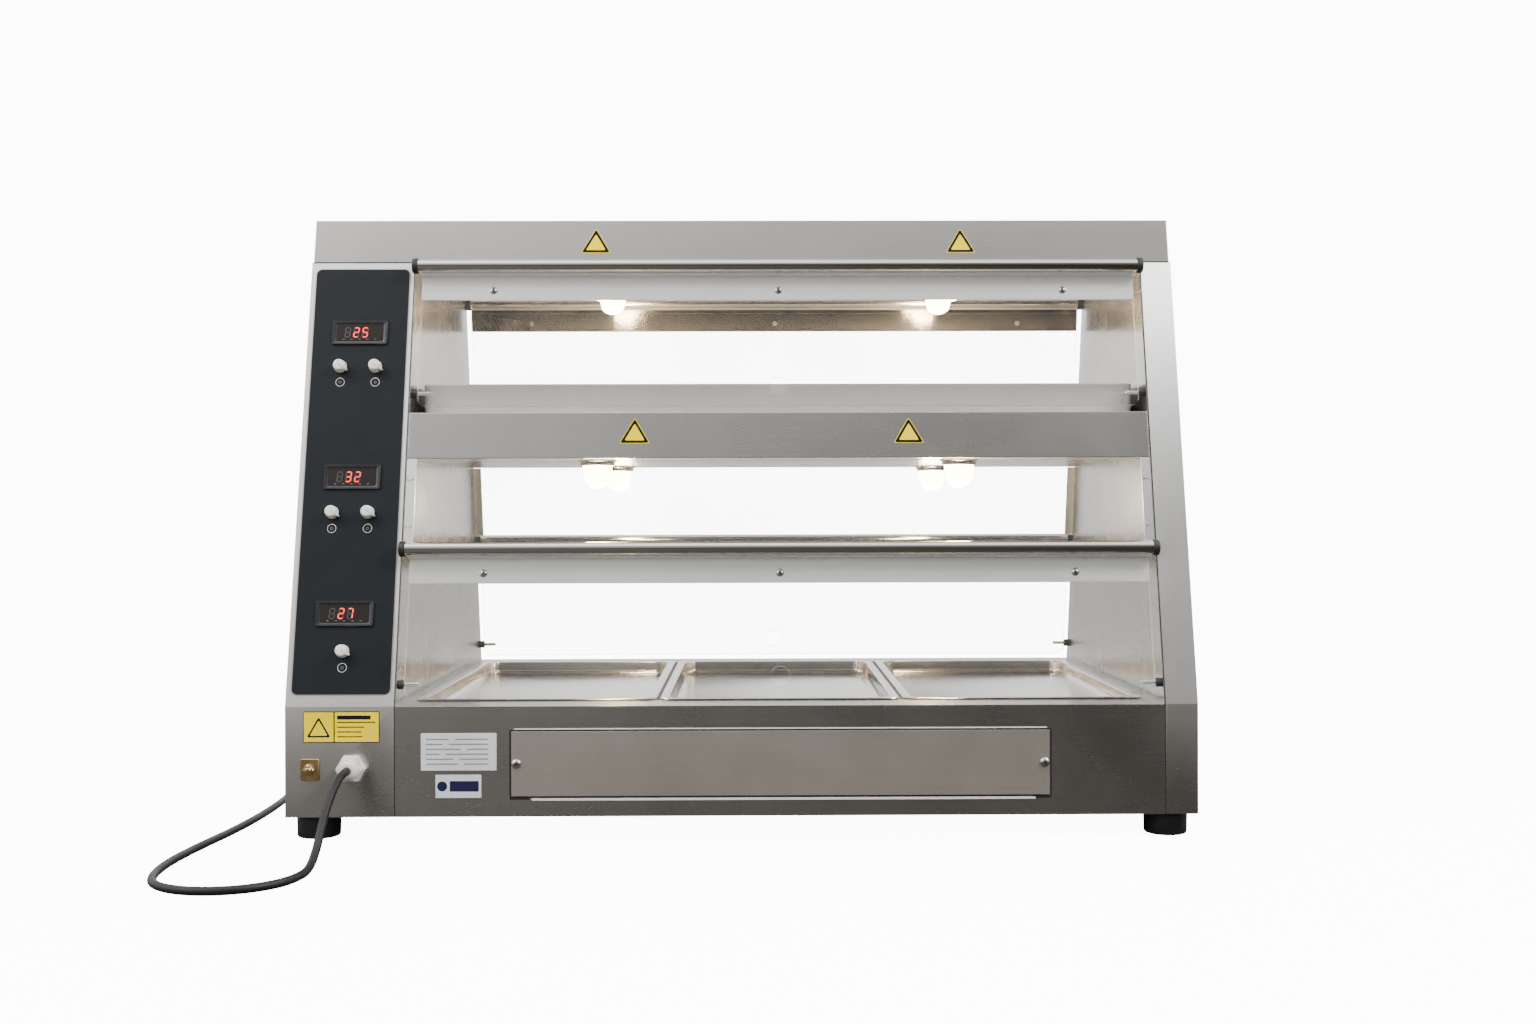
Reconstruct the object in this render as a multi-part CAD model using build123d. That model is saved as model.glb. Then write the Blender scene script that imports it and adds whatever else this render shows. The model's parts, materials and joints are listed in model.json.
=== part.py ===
"""Electric buffet server: a heated two-tier display cabinet with flaps at front and rear.

Units are millimetres. +X is to the right of someone facing the controls, the front faces
-Y and +Z is up. The origin is on the floor, in the middle of the object's outline.
"""
from build123d import *
from math import cos, radians, sin, tan
import os

# ---- driving dimensions -------------------------------------------------------------
BODY_WIDTH = 1200.0
BASE_DEPTH = 644.0
FOOT_HEIGHT = 32.0
BEND_Z = 177.0            # top of the upright base, where the faces start to lean
HOOD_Z = 780.0
TOP_Z = 841.0
LEAN = 12.5               # degrees that the front and rear faces lean inwards
SHEET = 2.0
SEAM = 0.5                # open seam between the base panels and the column covers
GAP = 0.3                 # running gap between pieces that move past each other

OPENING_LEFT = -455.0     # inner faces of the two inner walls
OPENING_RIGHT = 555.0
COLUMN_MID = -527.5       # middle of the control column

SHELF_LOW_Z = 504.5
SHELF_TOP_Z = 567.5
FIXED_PANE_Z = 391.0
POST_WIDTH = 12.5

FLAP_PIVOTS_Z = {"lower": 204.0, "upper": 594.6}
PANE_HALF = 496.5
PANE_THICK = 5.0
PANE_RECESS = 7.0         # front of the pane behind the leaning face
PANE_BELOW = 18.5         # pane below its pivot
TUBE_UP = 178.3           # tube axis above the pivot, along the pane
TUBE_OUT = 11.0           # tube axis in front of the leaning face
TUBE_R = 9.0
CAP_R = 10.7
TUBE_HALF = 503.0
CAP_OUT = 4.0             # cap beyond the tube's end
CAP_IN = 4.0              # cap over the tube's end
TUBE_WALL = 1.5
STRIP_TOP = 10.0          # strip's edges below the tube axis
STRIP_BOTTOM = 44.0
SCREW_DOWN = 30.0
SCREW_SPACING = 397.0
SCREW_HEAD = (5.0, 2.5)   # radius, thickness
SCREW_R = 2.0
NUT = (4.5, 3.0)
PIN_R = 2.5
PIN_IN = 18.0
BUSH_R = 4.5
FINGER_HOLE_R = 13.5
FINGER_HOLE_UP = 9.5

PAN_PITCH = 330.0
PAN_RIM = (325.0, 530.0)
PAN_BODY = (303.0, 508.0)
PAN_DEPTH = 20.0
DECK_HOLE = (306.0, 511.0)
TRAY_SIZE = (990.0, 398.0)
TRAY_HEIGHT = 42.0

LAMP_SPACING_X = 255.0
LAMP_ROWS = {"shelf": (SHELF_LOW_Z, 170.0), "hood": (HOOD_Z, 76.0)}
FLANGE_R = 27.5
FLANGE_HEIGHT = 8.0
DOME_R = 21.0
DOME_DROP = 40.0
HOLDER_R = 14.0
HOLDER_HEIGHT = 22.0
DOME_WALL = 2.5
BULB_R = 9.0
BULB_DROP = 28.0

OVERLAY_Z = (192.0, 770.0)
OVERLAY_HALF = 65.0
OVERLAY_THICK = 1.0
DISPLAY_Z = (679.0, 479.0, 297.0)
DISPLAY_SIZE = (76.0, 34.0)
KNOB_R = 8.8
SWITCH_BUSH_R = 5.0
SPINDLE_R = 3.0
KNOBS = {                 # centre from the column's middle, height
    "upper_left_knob": (-24.0, 631.0),
    "upper_right_knob": (24.0, 631.0),
    "middle_left_knob": (-24.0, 431.0),
    "middle_right_knob": (24.0, 431.0),
    "lower_knob": (0.0, 248.0),
}

SERVICE_PANEL = (707.0, 85.0)
SERVICE_Z = 101.5
SERVICE_SCREW = 347.0
SCREW_SHANK_R = 2.5
SERVICE_HEAD = (6.5, 3.5)  # radius, thickness
SERVICE_SHANK_END = 10.0   # screw tip behind the base's face
GLAND = (-512.0, 97.0)
GLAND_OUT = 28.0
GLAND_SHANK_R = 10.0
GLAND_HEX = (19.2, 10.0)  # radius to the corners, length
GLAND_NUT = (17.4, 9.0)
GLAND_DOME = (14.5, 9.5)  # radius at its foot and at the cord
LOCKNUT = (15.0, 8.0)
EARTH = (-567.0, 95.0)
EARTH_PLATE = (24.0, 28.0, 3.0)
EARTH_STUD = (4.0, 14.0)  # radius, reach in front of the panel
EARTH_NUT = (7.5, 7.0)
FOOT_R = 29.0
FOOT_BOTTOM_R = 28.2
FOOT_X = 567.0
FOOT_Y = 279.0

CORD_D = 10.5
FLOOR_RUN = CORD_D / 2 + 0.05
COIL_R = 57.0
COIL_X = -530.0
COIL_BEHIND = 144.0       # coil's centre line at its far side, behind the rear face
COIL_TURNS = 2
PLUG_Z = 15.0             # plug's axis above the floor
PLUG_THICK = 29.9
PLUG_WIDTH = 34.0
PLUG_LENGTH = 38.0
PLUG_NECK = 20.0
PLUG_PIN_SPACING = 19.0

# ---- sizes that follow ----------------------------------------------------------------
HALF_DEPTH = BASE_DEPTH / 2
SLOPE = tan(radians(LEAN))
MID_X = (OPENING_LEFT + OPENING_RIGHT) / 2
SPAN_X = OPENING_RIGHT - OPENING_LEFT
SHIFT_Y = GLAND_OUT / 2   # brings the outline's middle onto the origin
HALF_W = BODY_WIDTH / 2
PANE_MID = PANE_RECESS + PANE_THICK / 2


def face_y(z):
    """Half depth of the leaning part of the cabinet at a height."""
    return HALF_DEPTH - (z - BEND_Z) * SLOPE


def along(z):
    """Distance up the leaning face of a height."""
    return (z - BEND_Z) / cos(radians(LEAN))


def write(node, shape):
    """Writes a node in the part's frame, and its solids as one group."""
    placed = Pos(0, SHIFT_Y, 0) * shape
    solids = placed.solids()
    if len(solids) == 1:
        out = solids[0]
    else:
        out = Compound(children=solids)
    out.label = node
    export_step(out, f"parts/{node}.step")


def block(x0, x1, y0, y1, z0, z1):
    """Box between two corners."""
    size = Box(x1 - x0, y1 - y0, z1 - z0)
    return Pos((x0 + x1) / 2, (y0 + y1) / 2, (z0 + z1) / 2) * size


def side_prism(points, x0, x1):
    """Outline in depth and height, drawn out along X."""
    face = Plane.YZ.offset(x0) * make_face(Polyline(*points, close=True))
    return extrude(face, amount=x1 - x0)


def cabinet(x0, x1, z0, z1, inset=0.0):
    """Block with the cabinet's leaning faces, set in from them by inset."""
    d0 = face_y(z0) - inset / cos(radians(LEAN))
    d1 = face_y(z1) - inset / cos(radians(LEAN))
    return side_prism([(-d0, z0), (d0, z0), (d1, z1), (-d1, z1)], x0, x1)


def rounded_box(width, depth, height, corner, x=0.0, y=0.0, z=0.0):
    """Upright block with rounded corners, standing on height z."""
    return Pos(x, y, z) * extrude(RectangleRounded(width, depth, corner), amount=height)


def rod_y(radius, x, z, y0, y1):
    """Cylinder along Y."""
    face = Plane.XZ.offset(-y0) * Pos(x, z) * Circle(radius)
    return extrude(face, amount=-(y1 - y0))


def on_front(x, shape):
    """Puts a shape drawn on the leaning front: X across, -Y outwards, Z up the slope."""
    return Pos(x, -HALF_DEPTH, BEND_Z) * Rot(-LEAN, 0, 0) * shape


# ---- cabinet shell ----------------------------------------------------------------------
def column_block(x0, x1, inset, overrun=0.0):
    """Whole cross-section of the cabinet up to the hood: upright base and leaning faces."""
    reach = HALF_DEPTH - inset
    bend_z = BEND_Z - inset * (1 / cos(radians(LEAN)) - 1) / SLOPE
    top = face_y(HOOD_Z + overrun) - inset / cos(radians(LEAN))
    right = [(reach, FOOT_HEIGHT - overrun), (reach, bend_z), (top, HOOD_Z + overrun)]
    left = [(-y, z) for y, z in reversed(right)]
    return side_prism(right + left, x0, x1)


def column_cover(side):
    """Column skin: front, outer side and rear in one bent sheet, open towards the cabinet."""
    inner_edge = OPENING_LEFT - SHEET if side < 0 else OPENING_RIGHT + SHEET
    outer_edge = side * HALF_W
    cover = column_block(min(inner_edge, outer_edge), max(inner_edge, outer_edge), 0.0)
    hollow_from = inner_edge - side
    hollow_to = outer_edge - side * SHEET
    return cover - column_block(min(hollow_from, hollow_to), max(hollow_from, hollow_to), SHEET, 1.0)


def left_column_cover():
    """Control column's skin, with its cut-outs for the controls and the cable gland."""
    cover = column_cover(-1)
    for cut in control_cuts(0.1, 3 * SHEET):
        cover -= cut
    return cover - rod_y(GLAND_SHANK_R, GLAND[0], GLAND[1], -HALF_DEPTH - 1, -HALF_DEPTH + SHEET + 1)


def inner_wall(side):
    """Wall between the compartments and a column, with holes for the pivot bushes."""
    x0 = OPENING_LEFT - SHEET if side < 0 else OPENING_RIGHT
    wall = cabinet(x0, x0 + SHEET, BEND_Z, HOOD_Z)
    for pivot_z in FLAP_PIVOTS_Z.values():
        for end in (-1, 1):
            y = end * pivot_y(pivot_z)
            wall -= Pos(x0 + SHEET / 2, y, pivot_z) * Rot(0, 90, 0) * Cylinder(BUSH_R, 3 * SHEET)
    return wall


def pivot_y(pivot_z):
    """Half distance between the front and rear pivots at a height."""
    return face_y(pivot_z) - PANE_MID / cos(radians(LEAN))


def hood_cover():
    inset_x = HALF_W - 2.0
    outer = cabinet(-inset_x, inset_x, HOOD_Z, TOP_Z)
    hollow = cabinet(-inset_x + SHEET, inset_x - SHEET, HOOD_Z - 1, TOP_Z - SHEET, SHEET)
    return outer - hollow


def plate_with_lamp_holes(tier, x0, x1, inset):
    """Lamp plate across the bottom of the shelf or hood, with a hole for each lamp holder."""
    z, row_y = LAMP_ROWS[tier]
    plate = cabinet(x0, x1, z, z + SHEET, inset)
    for x, y in lamp_places(row_y):
        plate -= Pos(x, y, z + SHEET / 2) * Cylinder(HOLDER_R, 3 * SHEET)
    return plate


def lamp_places(row_y):
    return [(MID_X + sx * LAMP_SPACING_X, sy * row_y) for sx in (-1, 1) for sy in (-1, 1)]


def shelf_housing():
    outer = cabinet(OPENING_LEFT, OPENING_RIGHT, SHELF_LOW_Z, SHELF_TOP_Z)
    lo = OPENING_LEFT - 1
    hi = OPENING_RIGHT + 1
    return outer - cabinet(lo, hi, SHELF_LOW_Z - 1, SHELF_TOP_Z - SHEET, SHEET)


def base_skirt(side):
    """Upright panel between the columns, at the front (-1) or rear (1) of the base."""
    y = side * HALF_DEPTH
    low = OPENING_LEFT - SHEET + SEAM
    high = OPENING_RIGHT + SHEET - SEAM
    return block(low, high, min(y, y - side * SHEET), max(y, y - side * SHEET), FOOT_HEIGHT, BEND_Z - SHEET)


def base_front():
    """Front panel with its service opening and the screw holes beside it."""
    y = -HALF_DEPTH
    panel = base_skirt(-1)
    half = SERVICE_PANEL[0] / 2 - 40
    panel -= block(MID_X - half, MID_X + half, y - 1, y + SHEET + 1, SERVICE_Z - 32, SERVICE_Z + 32)
    for sx in (-1, 1):
        panel -= rod_y(SCREW_SHANK_R, MID_X + sx * SERVICE_SCREW, SERVICE_Z, y - 1, y + SHEET + 1)
    return panel


def top_deck():
    """Deck under the pans, between the columns; the inner walls stand on its ends."""
    deck = block(OPENING_LEFT - SHEET, OPENING_RIGHT + SHEET, -HALF_DEPTH, HALF_DEPTH, BEND_Z - SHEET, BEND_Z)
    for i in (-1, 0, 1):
        deck -= rounded_box(*DECK_HOLE, 3 * SHEET, 25, MID_X + i * PAN_PITCH, 0, BEND_Z - 2 * SHEET)
    return deck


def service_screws():
    """Two pan-head screws with shanks through the panels."""
    group = []
    for sx in (-1, 1):
        x = MID_X + sx * SERVICE_SCREW
        face = -HALF_DEPTH - SHEET
        head = rod_y(SERVICE_HEAD[0], x, SERVICE_Z, face - SERVICE_HEAD[1], face)
        shank = rod_y(SCREW_SHANK_R, x, SERVICE_Z, face, -HALF_DEPTH + SERVICE_SHANK_END)
        group.append(head + shank)
    return Compound(children=group)


# ---- lamps and heating -------------------------------------------------------------------
def lamp_flanges():
    """Ring under the plate with a holder that passes through it, one for each lamp."""
    group = []
    for z, row_y in LAMP_ROWS.values():
        for x, y in lamp_places(row_y):
            ring = Cylinder(FLANGE_R, FLANGE_HEIGHT, align=(Align.CENTER, Align.CENTER, Align.MAX))
            holder = Cylinder(HOLDER_R, HOLDER_HEIGHT, align=(Align.CENTER, Align.CENTER, Align.MIN))
            bore = Pos(0, 0, -FLANGE_HEIGHT) * Cylinder(DOME_R, FLANGE_HEIGHT - 2,
                                                        align=(Align.CENTER, Align.CENTER, Align.MIN))
            group.append(Pos(x, y, z) * (ring + holder - bore))
    return Compound(children=group)


def lamp_shell(radius, drop, top):
    """Half-round cap that hangs from the height top, as one solid."""
    tall = drop - radius
    tube = Pos(0, 0, -drop + radius) * Cylinder(radius, tall + top,
                                                align=(Align.CENTER, Align.CENTER, Align.MIN))
    return tube + Pos(0, 0, -drop + radius) * Sphere(radius, arc_size1=-90, arc_size2=0)


def lamp_domes():
    group = []
    for z, row_y in LAMP_ROWS.values():
        for x, y in lamp_places(row_y):
            outer = lamp_shell(DOME_R - 0.2, DOME_DROP, -2)
            dome = outer - lamp_shell(DOME_R - 0.2 - DOME_WALL, DOME_DROP - DOME_WALL, 0)
            group.append(Pos(x, y, z) * dome)
    return Compound(children=group)


def lamp_bulbs():
    group = []
    for z, row_y in LAMP_ROWS.values():
        for x, y in lamp_places(row_y):
            bulb = lamp_shell(BULB_R, BULB_DROP, -2)
            group.append(Pos(x, y, z) * bulb)
    return Compound(children=group)


def heating_elements(z, width, depth, count, pitch):
    """Hairpin heating rods lying under a plate, each a U of round tube."""
    group = []
    radius = 30.0
    for i in range(count):
        cx = MID_X + (i - (count - 1) / 2) * pitch
        reach = width / 2 - radius
        path = FilletPolyline(
            (cx - reach, -depth, z),
            (cx + reach, -depth, z),
            (cx + reach, depth, z),
            (cx - reach, depth, z),
            radius=radius,
        )
        section = Plane(origin=path @ 0, z_dir=path % 0) * Circle(4.0)
        group.append(sweep(section, path=path))
    return Compound(children=group)


# ---- flaps ---------------------------------------------------------------------------------
def flap_pieces():
    """One flap in its own frame: pivot axis on X, pane up Z, outside towards -Y."""
    out_front = -(PANE_MID + TUBE_OUT)
    pane_front = -PANE_THICK / 2
    strip_top = TUBE_UP - STRIP_TOP
    strip_bottom = TUBE_UP - STRIP_BOTTOM
    screw_up = TUBE_UP - SCREW_DOWN
    pane_top = strip_top - 4.0

    pane = block(-PANE_HALF, PANE_HALF, pane_front, -pane_front, -PANE_BELOW, pane_top)
    low_corners = pane.edges().filter_by(Axis.Y).group_by(Axis.Z)[0]
    pane = fillet(low_corners, 12.0)
    pane -= rod_y(FINGER_HOLE_R, 0, FINGER_HOLE_UP, pane_front - 1, 1 - pane_front)
    for sx in (-1, 1):
        hole = Cylinder(PIN_R + 0.05, 2 * (PIN_IN + 0.2))
        pane -= Pos(sx * PANE_HALF, 0, 0) * Rot(0, 90, 0) * hole

    strip = block(-PANE_HALF, PANE_HALF, pane_front - SHEET, pane_front, strip_bottom, strip_top)
    web = block(-PANE_HALF, PANE_HALF, out_front + 3, pane_front, strip_top, strip_top + SHEET)
    stem = block(-PANE_HALF, PANE_HALF, out_front + 3, out_front + 3 + SHEET, strip_top, TUBE_UP - 5)
    tube = Pos(0, out_front, TUBE_UP) * Rot(0, 90, 0) * Cylinder(TUBE_R, 2 * TUBE_HALF)
    bore = Pos(0, out_front, TUBE_UP) * Rot(0, 90, 0) * Cylinder(TUBE_R - TUBE_WALL, 2 * TUBE_HALF + 2)
    rail = strip + web + stem + tube - bore

    screws = []
    for i in (-1, 0, 1):
        x = i * SCREW_SPACING
        hole = rod_y(SCREW_R + 0.1, x, screw_up, pane_front - 2 * SHEET, 1 - pane_front)
        rail -= hole
        pane -= hole
        under_head = pane_front - SHEET
        head = rod_y(SCREW_HEAD[0], x, screw_up, under_head - SCREW_HEAD[1], under_head)
        shank = rod_y(SCREW_R, x, screw_up, under_head, NUT[1] - pane_front)
        nut = rod_y(NUT[0], x, screw_up, -pane_front, NUT[1] - pane_front)
        screws.append(head + shank + nut)

    pins = []
    caps = []
    for sx in (-1, 1):
        x_in = PANE_HALF - PIN_IN
        x_out = SPAN_X / 2 + SHEET + 4
        pin = Pos(sx * (x_in + x_out) / 2, 0, 0) * Rot(0, 90, 0) * Cylinder(PIN_R, x_out - x_in)
        pins.append(pin)
        middle = sx * (TUBE_HALF + (CAP_OUT - CAP_IN) / 2)
        cap = Pos(middle, 0, 0) * Rot(0, 90, 0) * Cylinder(CAP_R, CAP_OUT + CAP_IN)
        cap -= Pos(sx * (TUBE_HALF - CAP_IN), 0, 0) * Rot(0, 90, 0) * Cylinder(TUBE_R, 2 * CAP_IN)
        caps.append(Pos(0, out_front, TUBE_UP) * cap)
    return {
        "pane": pane,
        "rail": rail,
        "rail_caps": Compound(children=caps),
        "pins_and_screws": Compound(children=pins + screws),
    }


def place_flap(shape, pivot_z, side):
    """Stands a flap at the front (-1) or, mirrored, at the rear (1)."""
    turned = Pos(MID_X, -pivot_y(pivot_z), pivot_z) * Rot(-LEAN, 0, 0) * shape
    if side > 0:
        turned = mirror(turned, about=Plane.XZ)
    return turned


def pivot_bushes():
    """Flanged bushes in the inner walls that the flap pins turn in."""
    group = []
    for pivot_z in FLAP_PIVOTS_Z.values():
        for end in (-1, 1):
            for side in (-1, 1):
                wall = OPENING_LEFT if side < 0 else OPENING_RIGHT
                flange_len = SPAN_X / 2 - PANE_HALF - 1.0
                flange = Pos(-side * flange_len / 2, 0, 0) * Rot(0, 90, 0) * Cylinder(6.0, flange_len)
                shank = Pos(side * 4, 0, 0) * Rot(0, 90, 0) * Cylinder(BUSH_R, 8)
                bore = Rot(0, 90, 0) * Cylinder(PIN_R + 0.06, 40)
                bush = flange + shank - bore
                group.append(Pos(wall, end * pivot_y(pivot_z), pivot_z) * bush)
    return Compound(children=group)


# ---- pans and tray ----------------------------------------------------------------------------
def pan():
    """Food pan with a flat rim, standing with its rim's underside at height 0."""
    wall = 1.5
    rim = rounded_box(*PAN_RIM, SHEET, 14)
    body = rounded_box(*PAN_BODY, PAN_DEPTH, 23, z=-PAN_DEPTH)
    inside = rounded_box(PAN_BODY[0] - 2 * wall, PAN_BODY[1] - 2 * wall, 60, 21.5, z=wall - PAN_DEPTH)
    return rim + body - inside


def tray():
    """Shallow shelf tray, standing on height 0."""
    wall = 1.5
    body = rounded_box(*TRAY_SIZE, TRAY_HEIGHT, 15)
    return body - rounded_box(TRAY_SIZE[0] - 2 * wall, TRAY_SIZE[1] - 2 * wall, 60, 13.5, z=wall)


# ---- fixed panes and posts ----------------------------------------------------------------------
def fixed_pane():
    """Pane under the front of the shelf, between the posts, in the leaning plane."""
    low = along(FIXED_PANE_Z)
    high = along(SHELF_LOW_Z) - 1.2
    half = SPAN_X / 2 - 0.5
    plate = block(-half, half, 3.3, 7.3, low, high)
    return on_front(MID_X, plate)


def side_post(side):
    """Flat post in front of a fixed pane's side edge, with two screws into it."""
    low = along(FIXED_PANE_Z)
    high = along(SHELF_LOW_Z) - 0.4
    x = side * (SPAN_X / 2 - POST_WIDTH / 2)
    post = block(x - POST_WIDTH / 2, x + POST_WIDTH / 2, 0.3, 3.3, low, high)
    for up in (25, 90):
        post += rod_y(4.0, x, low + up, -1.7, 0.3)
    return on_front(MID_X, post)


# ---- controls --------------------------------------------------------------------------------------
def control_cuts(extra, depth):
    """Openings for the displays and the switch bushes, drawn on the leaning front."""
    cuts = []
    for z in DISPLAY_Z:
        half_w = DISPLAY_SIZE[0] / 2 - 3 + extra
        half_h = DISPLAY_SIZE[1] / 2 - 2 + extra
        cuts.append(block(-half_w, half_w, -3, depth, along(z) - half_h, along(z) + half_h))
    for x, z in KNOBS.values():
        cuts.append(rod_y(SWITCH_BUSH_R + extra, x, along(z), -3, depth))
    return [on_front(COLUMN_MID, cut) for cut in cuts]


def control_overlay():
    low = along(OVERLAY_Z[0])
    high = along(OVERLAY_Z[1])
    plate = block(-OVERLAY_HALF, OVERLAY_HALF, -OVERLAY_THICK, 0, low, high)
    plate = fillet(plate.edges().filter_by(Axis.Y), 8.0)
    overlay = on_front(COLUMN_MID, plate)
    for cut in control_cuts(0.1, 1.0):
        overlay -= cut
    return overlay


def temperature_controllers():
    """Bezel on the overlay and a housing behind the face, with a recess for the window."""
    group = []
    for z in DISPLAY_Z:
        half_w = DISPLAY_SIZE[0] / 2
        half_h = DISPLAY_SIZE[1] / 2
        mid = along(z)
        bezel = block(-half_w, half_w, -OVERLAY_THICK - 3.0, -OVERLAY_THICK, mid - half_h, mid + half_h)
        bezel = fillet(bezel.edges().filter_by(Axis.Y), 2.5)
        body = block(3 - half_w, half_w - 3, -OVERLAY_THICK, 55, mid - half_h + 2, mid + half_h - 2)
        recess = block(6 - half_w, half_w - 6, -9, -2.5, mid - half_h + 5, mid + half_h - 5)
        group.append(on_front(COLUMN_MID, bezel + body - recess))
    return Compound(children=group)


def display_windows():
    group = []
    for z in DISPLAY_Z:
        half_w = DISPLAY_SIZE[0] / 2 - 6
        half_h = DISPLAY_SIZE[1] / 2 - 5
        mid = along(z)
        group.append(on_front(COLUMN_MID, block(-half_w, half_w, -3.5, -2.5, mid - half_h, mid + half_h)))
    return Compound(children=group)


def rotary_switches():
    """Switch bodies behind the column face, each with a bush through it."""
    group = []
    for x, z in KNOBS.values():
        mid = along(z)
        body = block(x - 14, x + 14, SHEET, 30, mid - 14, mid + 14)
        bush = rod_y(SWITCH_BUSH_R, x, mid, -OVERLAY_THICK - 1, SHEET)
        bore = rod_y(SPINDLE_R + 0.06, x, mid, -9, 24)
        group.append(on_front(COLUMN_MID, body + bush - bore))
    return Compound(children=group)


def knob(x, z):
    """Knob with a pointer and a spindle, at rest with the pointer to the lower right."""
    mid = along(z)
    back = -OVERLAY_THICK - 1 - GAP
    cap = rod_y(KNOB_R, x, mid, back - 13, back)
    pointer = Pos(x, back - 5, mid) * Rot(0, 30, 0) * Pos(KNOB_R, 0, 0) * Box(5, 10, 4)
    spindle = rod_y(SPINDLE_R, x, mid, back - 1, 23)
    return on_front(COLUMN_MID, cap + pointer + spindle)


# ---- supply ----------------------------------------------------------------------------------------
def cable_gland():
    """Hexagonal gland with a domed nut, and a shank and locknut inside the panel."""
    x, z = GLAND
    y = -HALF_DEPTH
    hexagon = Plane.XZ * Pos(x, z) * RegularPolygon(GLAND_HEX[0], 6)
    body = Pos(0, y, 0) * extrude(hexagon, amount=GLAND_HEX[1])
    nut_face = Plane.XZ * Pos(x, z) * RegularPolygon(GLAND_NUT[0], 6)
    nut = Pos(0, y - GLAND_HEX[1], 0) * extrude(nut_face, amount=GLAND_NUT[1])
    foot = GLAND_HEX[1] + GLAND_NUT[1]
    dome = Pos(x, y - foot, z) * Rot(90, 0, 0) * Cone(*GLAND_DOME, GLAND_OUT - foot,
                                                      align=(Align.CENTER, Align.CENTER, Align.MIN))
    shank = rod_y(GLAND_SHANK_R, x, z, y, y + SHEET)
    locknut = rod_y(LOCKNUT[0], x, z, y + SHEET, y + SHEET + LOCKNUT[1])
    return body + nut + dome + shank + locknut


def earth_terminal():
    x, z = EARTH
    y = -HALF_DEPTH
    half_w = EARTH_PLATE[0] / 2
    half_h = EARTH_PLATE[1] / 2
    front = y - EARTH_PLATE[2]
    plate = block(x - half_w, x + half_w, front, y, z - half_h, z + half_h)
    stud = rod_y(EARTH_STUD[0], x, z, y - EARTH_STUD[1], front)
    nut_face = Plane.XZ * Pos(x, z) * RegularPolygon(EARTH_NUT[0], 6)
    nut = Pos(0, front, 0) * extrude(nut_face, amount=EARTH_NUT[1])
    return plate + stud + nut


def rubber_feet():
    group = []
    for sx in (-1, 1):
        for sy in (-1, 1):
            foot = Cone(FOOT_BOTTOM_R, FOOT_R, FOOT_HEIGHT, align=(Align.CENTER, Align.CENTER, Align.MIN))
            group.append(Pos(sx * FOOT_X, sy * FOOT_Y, 0) * foot)
    return Compound(children=group)


# ---- power cord ------------------------------------------------------------------------------------
# Each point of the route: X, distance in front of the base, height.
ROUTE = [
    (-512, 28, 97),
    (-512, 54, 97),
    (-514, 80, 86),
    (-518, 103, 63),
    (-519, 124, 38),
    (-519, 148, 16),
    (-518, 178, FLOOR_RUN),
    (-518, 212, FLOOR_RUN),
    (-530, 248, FLOOR_RUN),
    (-560, 275, FLOOR_RUN),
    (-601, 286, FLOOR_RUN),
    (-644, 278, FLOOR_RUN),
    (-678, 250, FLOOR_RUN),
    (-694, 208, FLOOR_RUN),
    (-701, 140, FLOOR_RUN),
    (-695, 48, FLOOR_RUN),
    (-682, -62, FLOOR_RUN),
    (-678, -190, FLOOR_RUN),
    (-686, -325, FLOOR_RUN),
    (-688, -460, FLOOR_RUN),
    (-679, -580, FLOOR_RUN),
    (-678, -668, FLOOR_RUN),
    (-661, -730, FLOOR_RUN),
    (-620, -773, FLOOR_RUN),
    (-570, -788, FLOOR_RUN),
    (COIL_X, -788, FLOOR_RUN),
]
TAIL = [
    (COIL_X, -788, FLOOR_RUN + COIL_TURNS * CORD_D),
    (-503, -789, 25.6),
    (-476, -794, 19.5),
    (-450, -803, PLUG_Z),
    (-424, -814, PLUG_Z),
]


def route_points(route):
    return [Vector(x, -HALF_DEPTH - ahead, z) for x, ahead, z in route]


def cord_tube(route, label):
    """Round tube of straight runs joined by tangent arcs as large as the runs allow."""
    points = route_points(route)
    radii = []
    for before, here, after in zip(points, points[1:], points[2:]):
        run = min((here - before).length, (after - here).length)
        turn = (here - before).get_angle(after - here)
        radii.append(0.45 * run / tan(radians(turn / 2)))
    path = FilletPolyline(*points, radius=radii)
    section = Plane(origin=path @ 0, z_dir=path % 0) * Circle(CORD_D / 2)
    tube = sweep(section, path=path)
    expected = 3.14159265 * (CORD_D / 2) ** 2 * path.length
    print(label, "radii", [round(r) for r in radii], "length", round(path.length, 1))
    print(label, "volume", round(tube.volume), "expected", round(expected))
    return tube


def cord_coil():
    """Outer shape of the wound part of the cord, lying on the floor."""
    centre_y = HALF_DEPTH + COIL_BEHIND - COIL_R
    half = CORD_D / 2 + 0.3
    height = (COIL_TURNS + 1) * CORD_D + 0.3
    place = Pos(COIL_X, centre_y, 0)
    low = (Align.CENTER, Align.CENTER, Align.MIN)
    ring = Cylinder(COIL_R + half, height, align=low) - Cylinder(COIL_R - half, height, align=low)
    return place * ring


def plug_plane():
    """Frame of the plug: Z away from the cord, X up."""
    before, end = route_points(TAIL)[-2:]
    return Plane(origin=end, x_dir=(0, 0, 1), z_dir=end - before)


def plug_body():
    """Moulded plug with a tapered neck, lying on the floor at the end of the tail."""
    body = extrude(RectangleRounded(PLUG_THICK, PLUG_WIDTH, 8), amount=PLUG_LENGTH)
    neck = Cone(7.5, 11, PLUG_NECK, align=(Align.CENTER, Align.CENTER, Align.MIN))
    return plug_plane() * (neck + Pos(0, 0, PLUG_NECK) * body)


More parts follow.
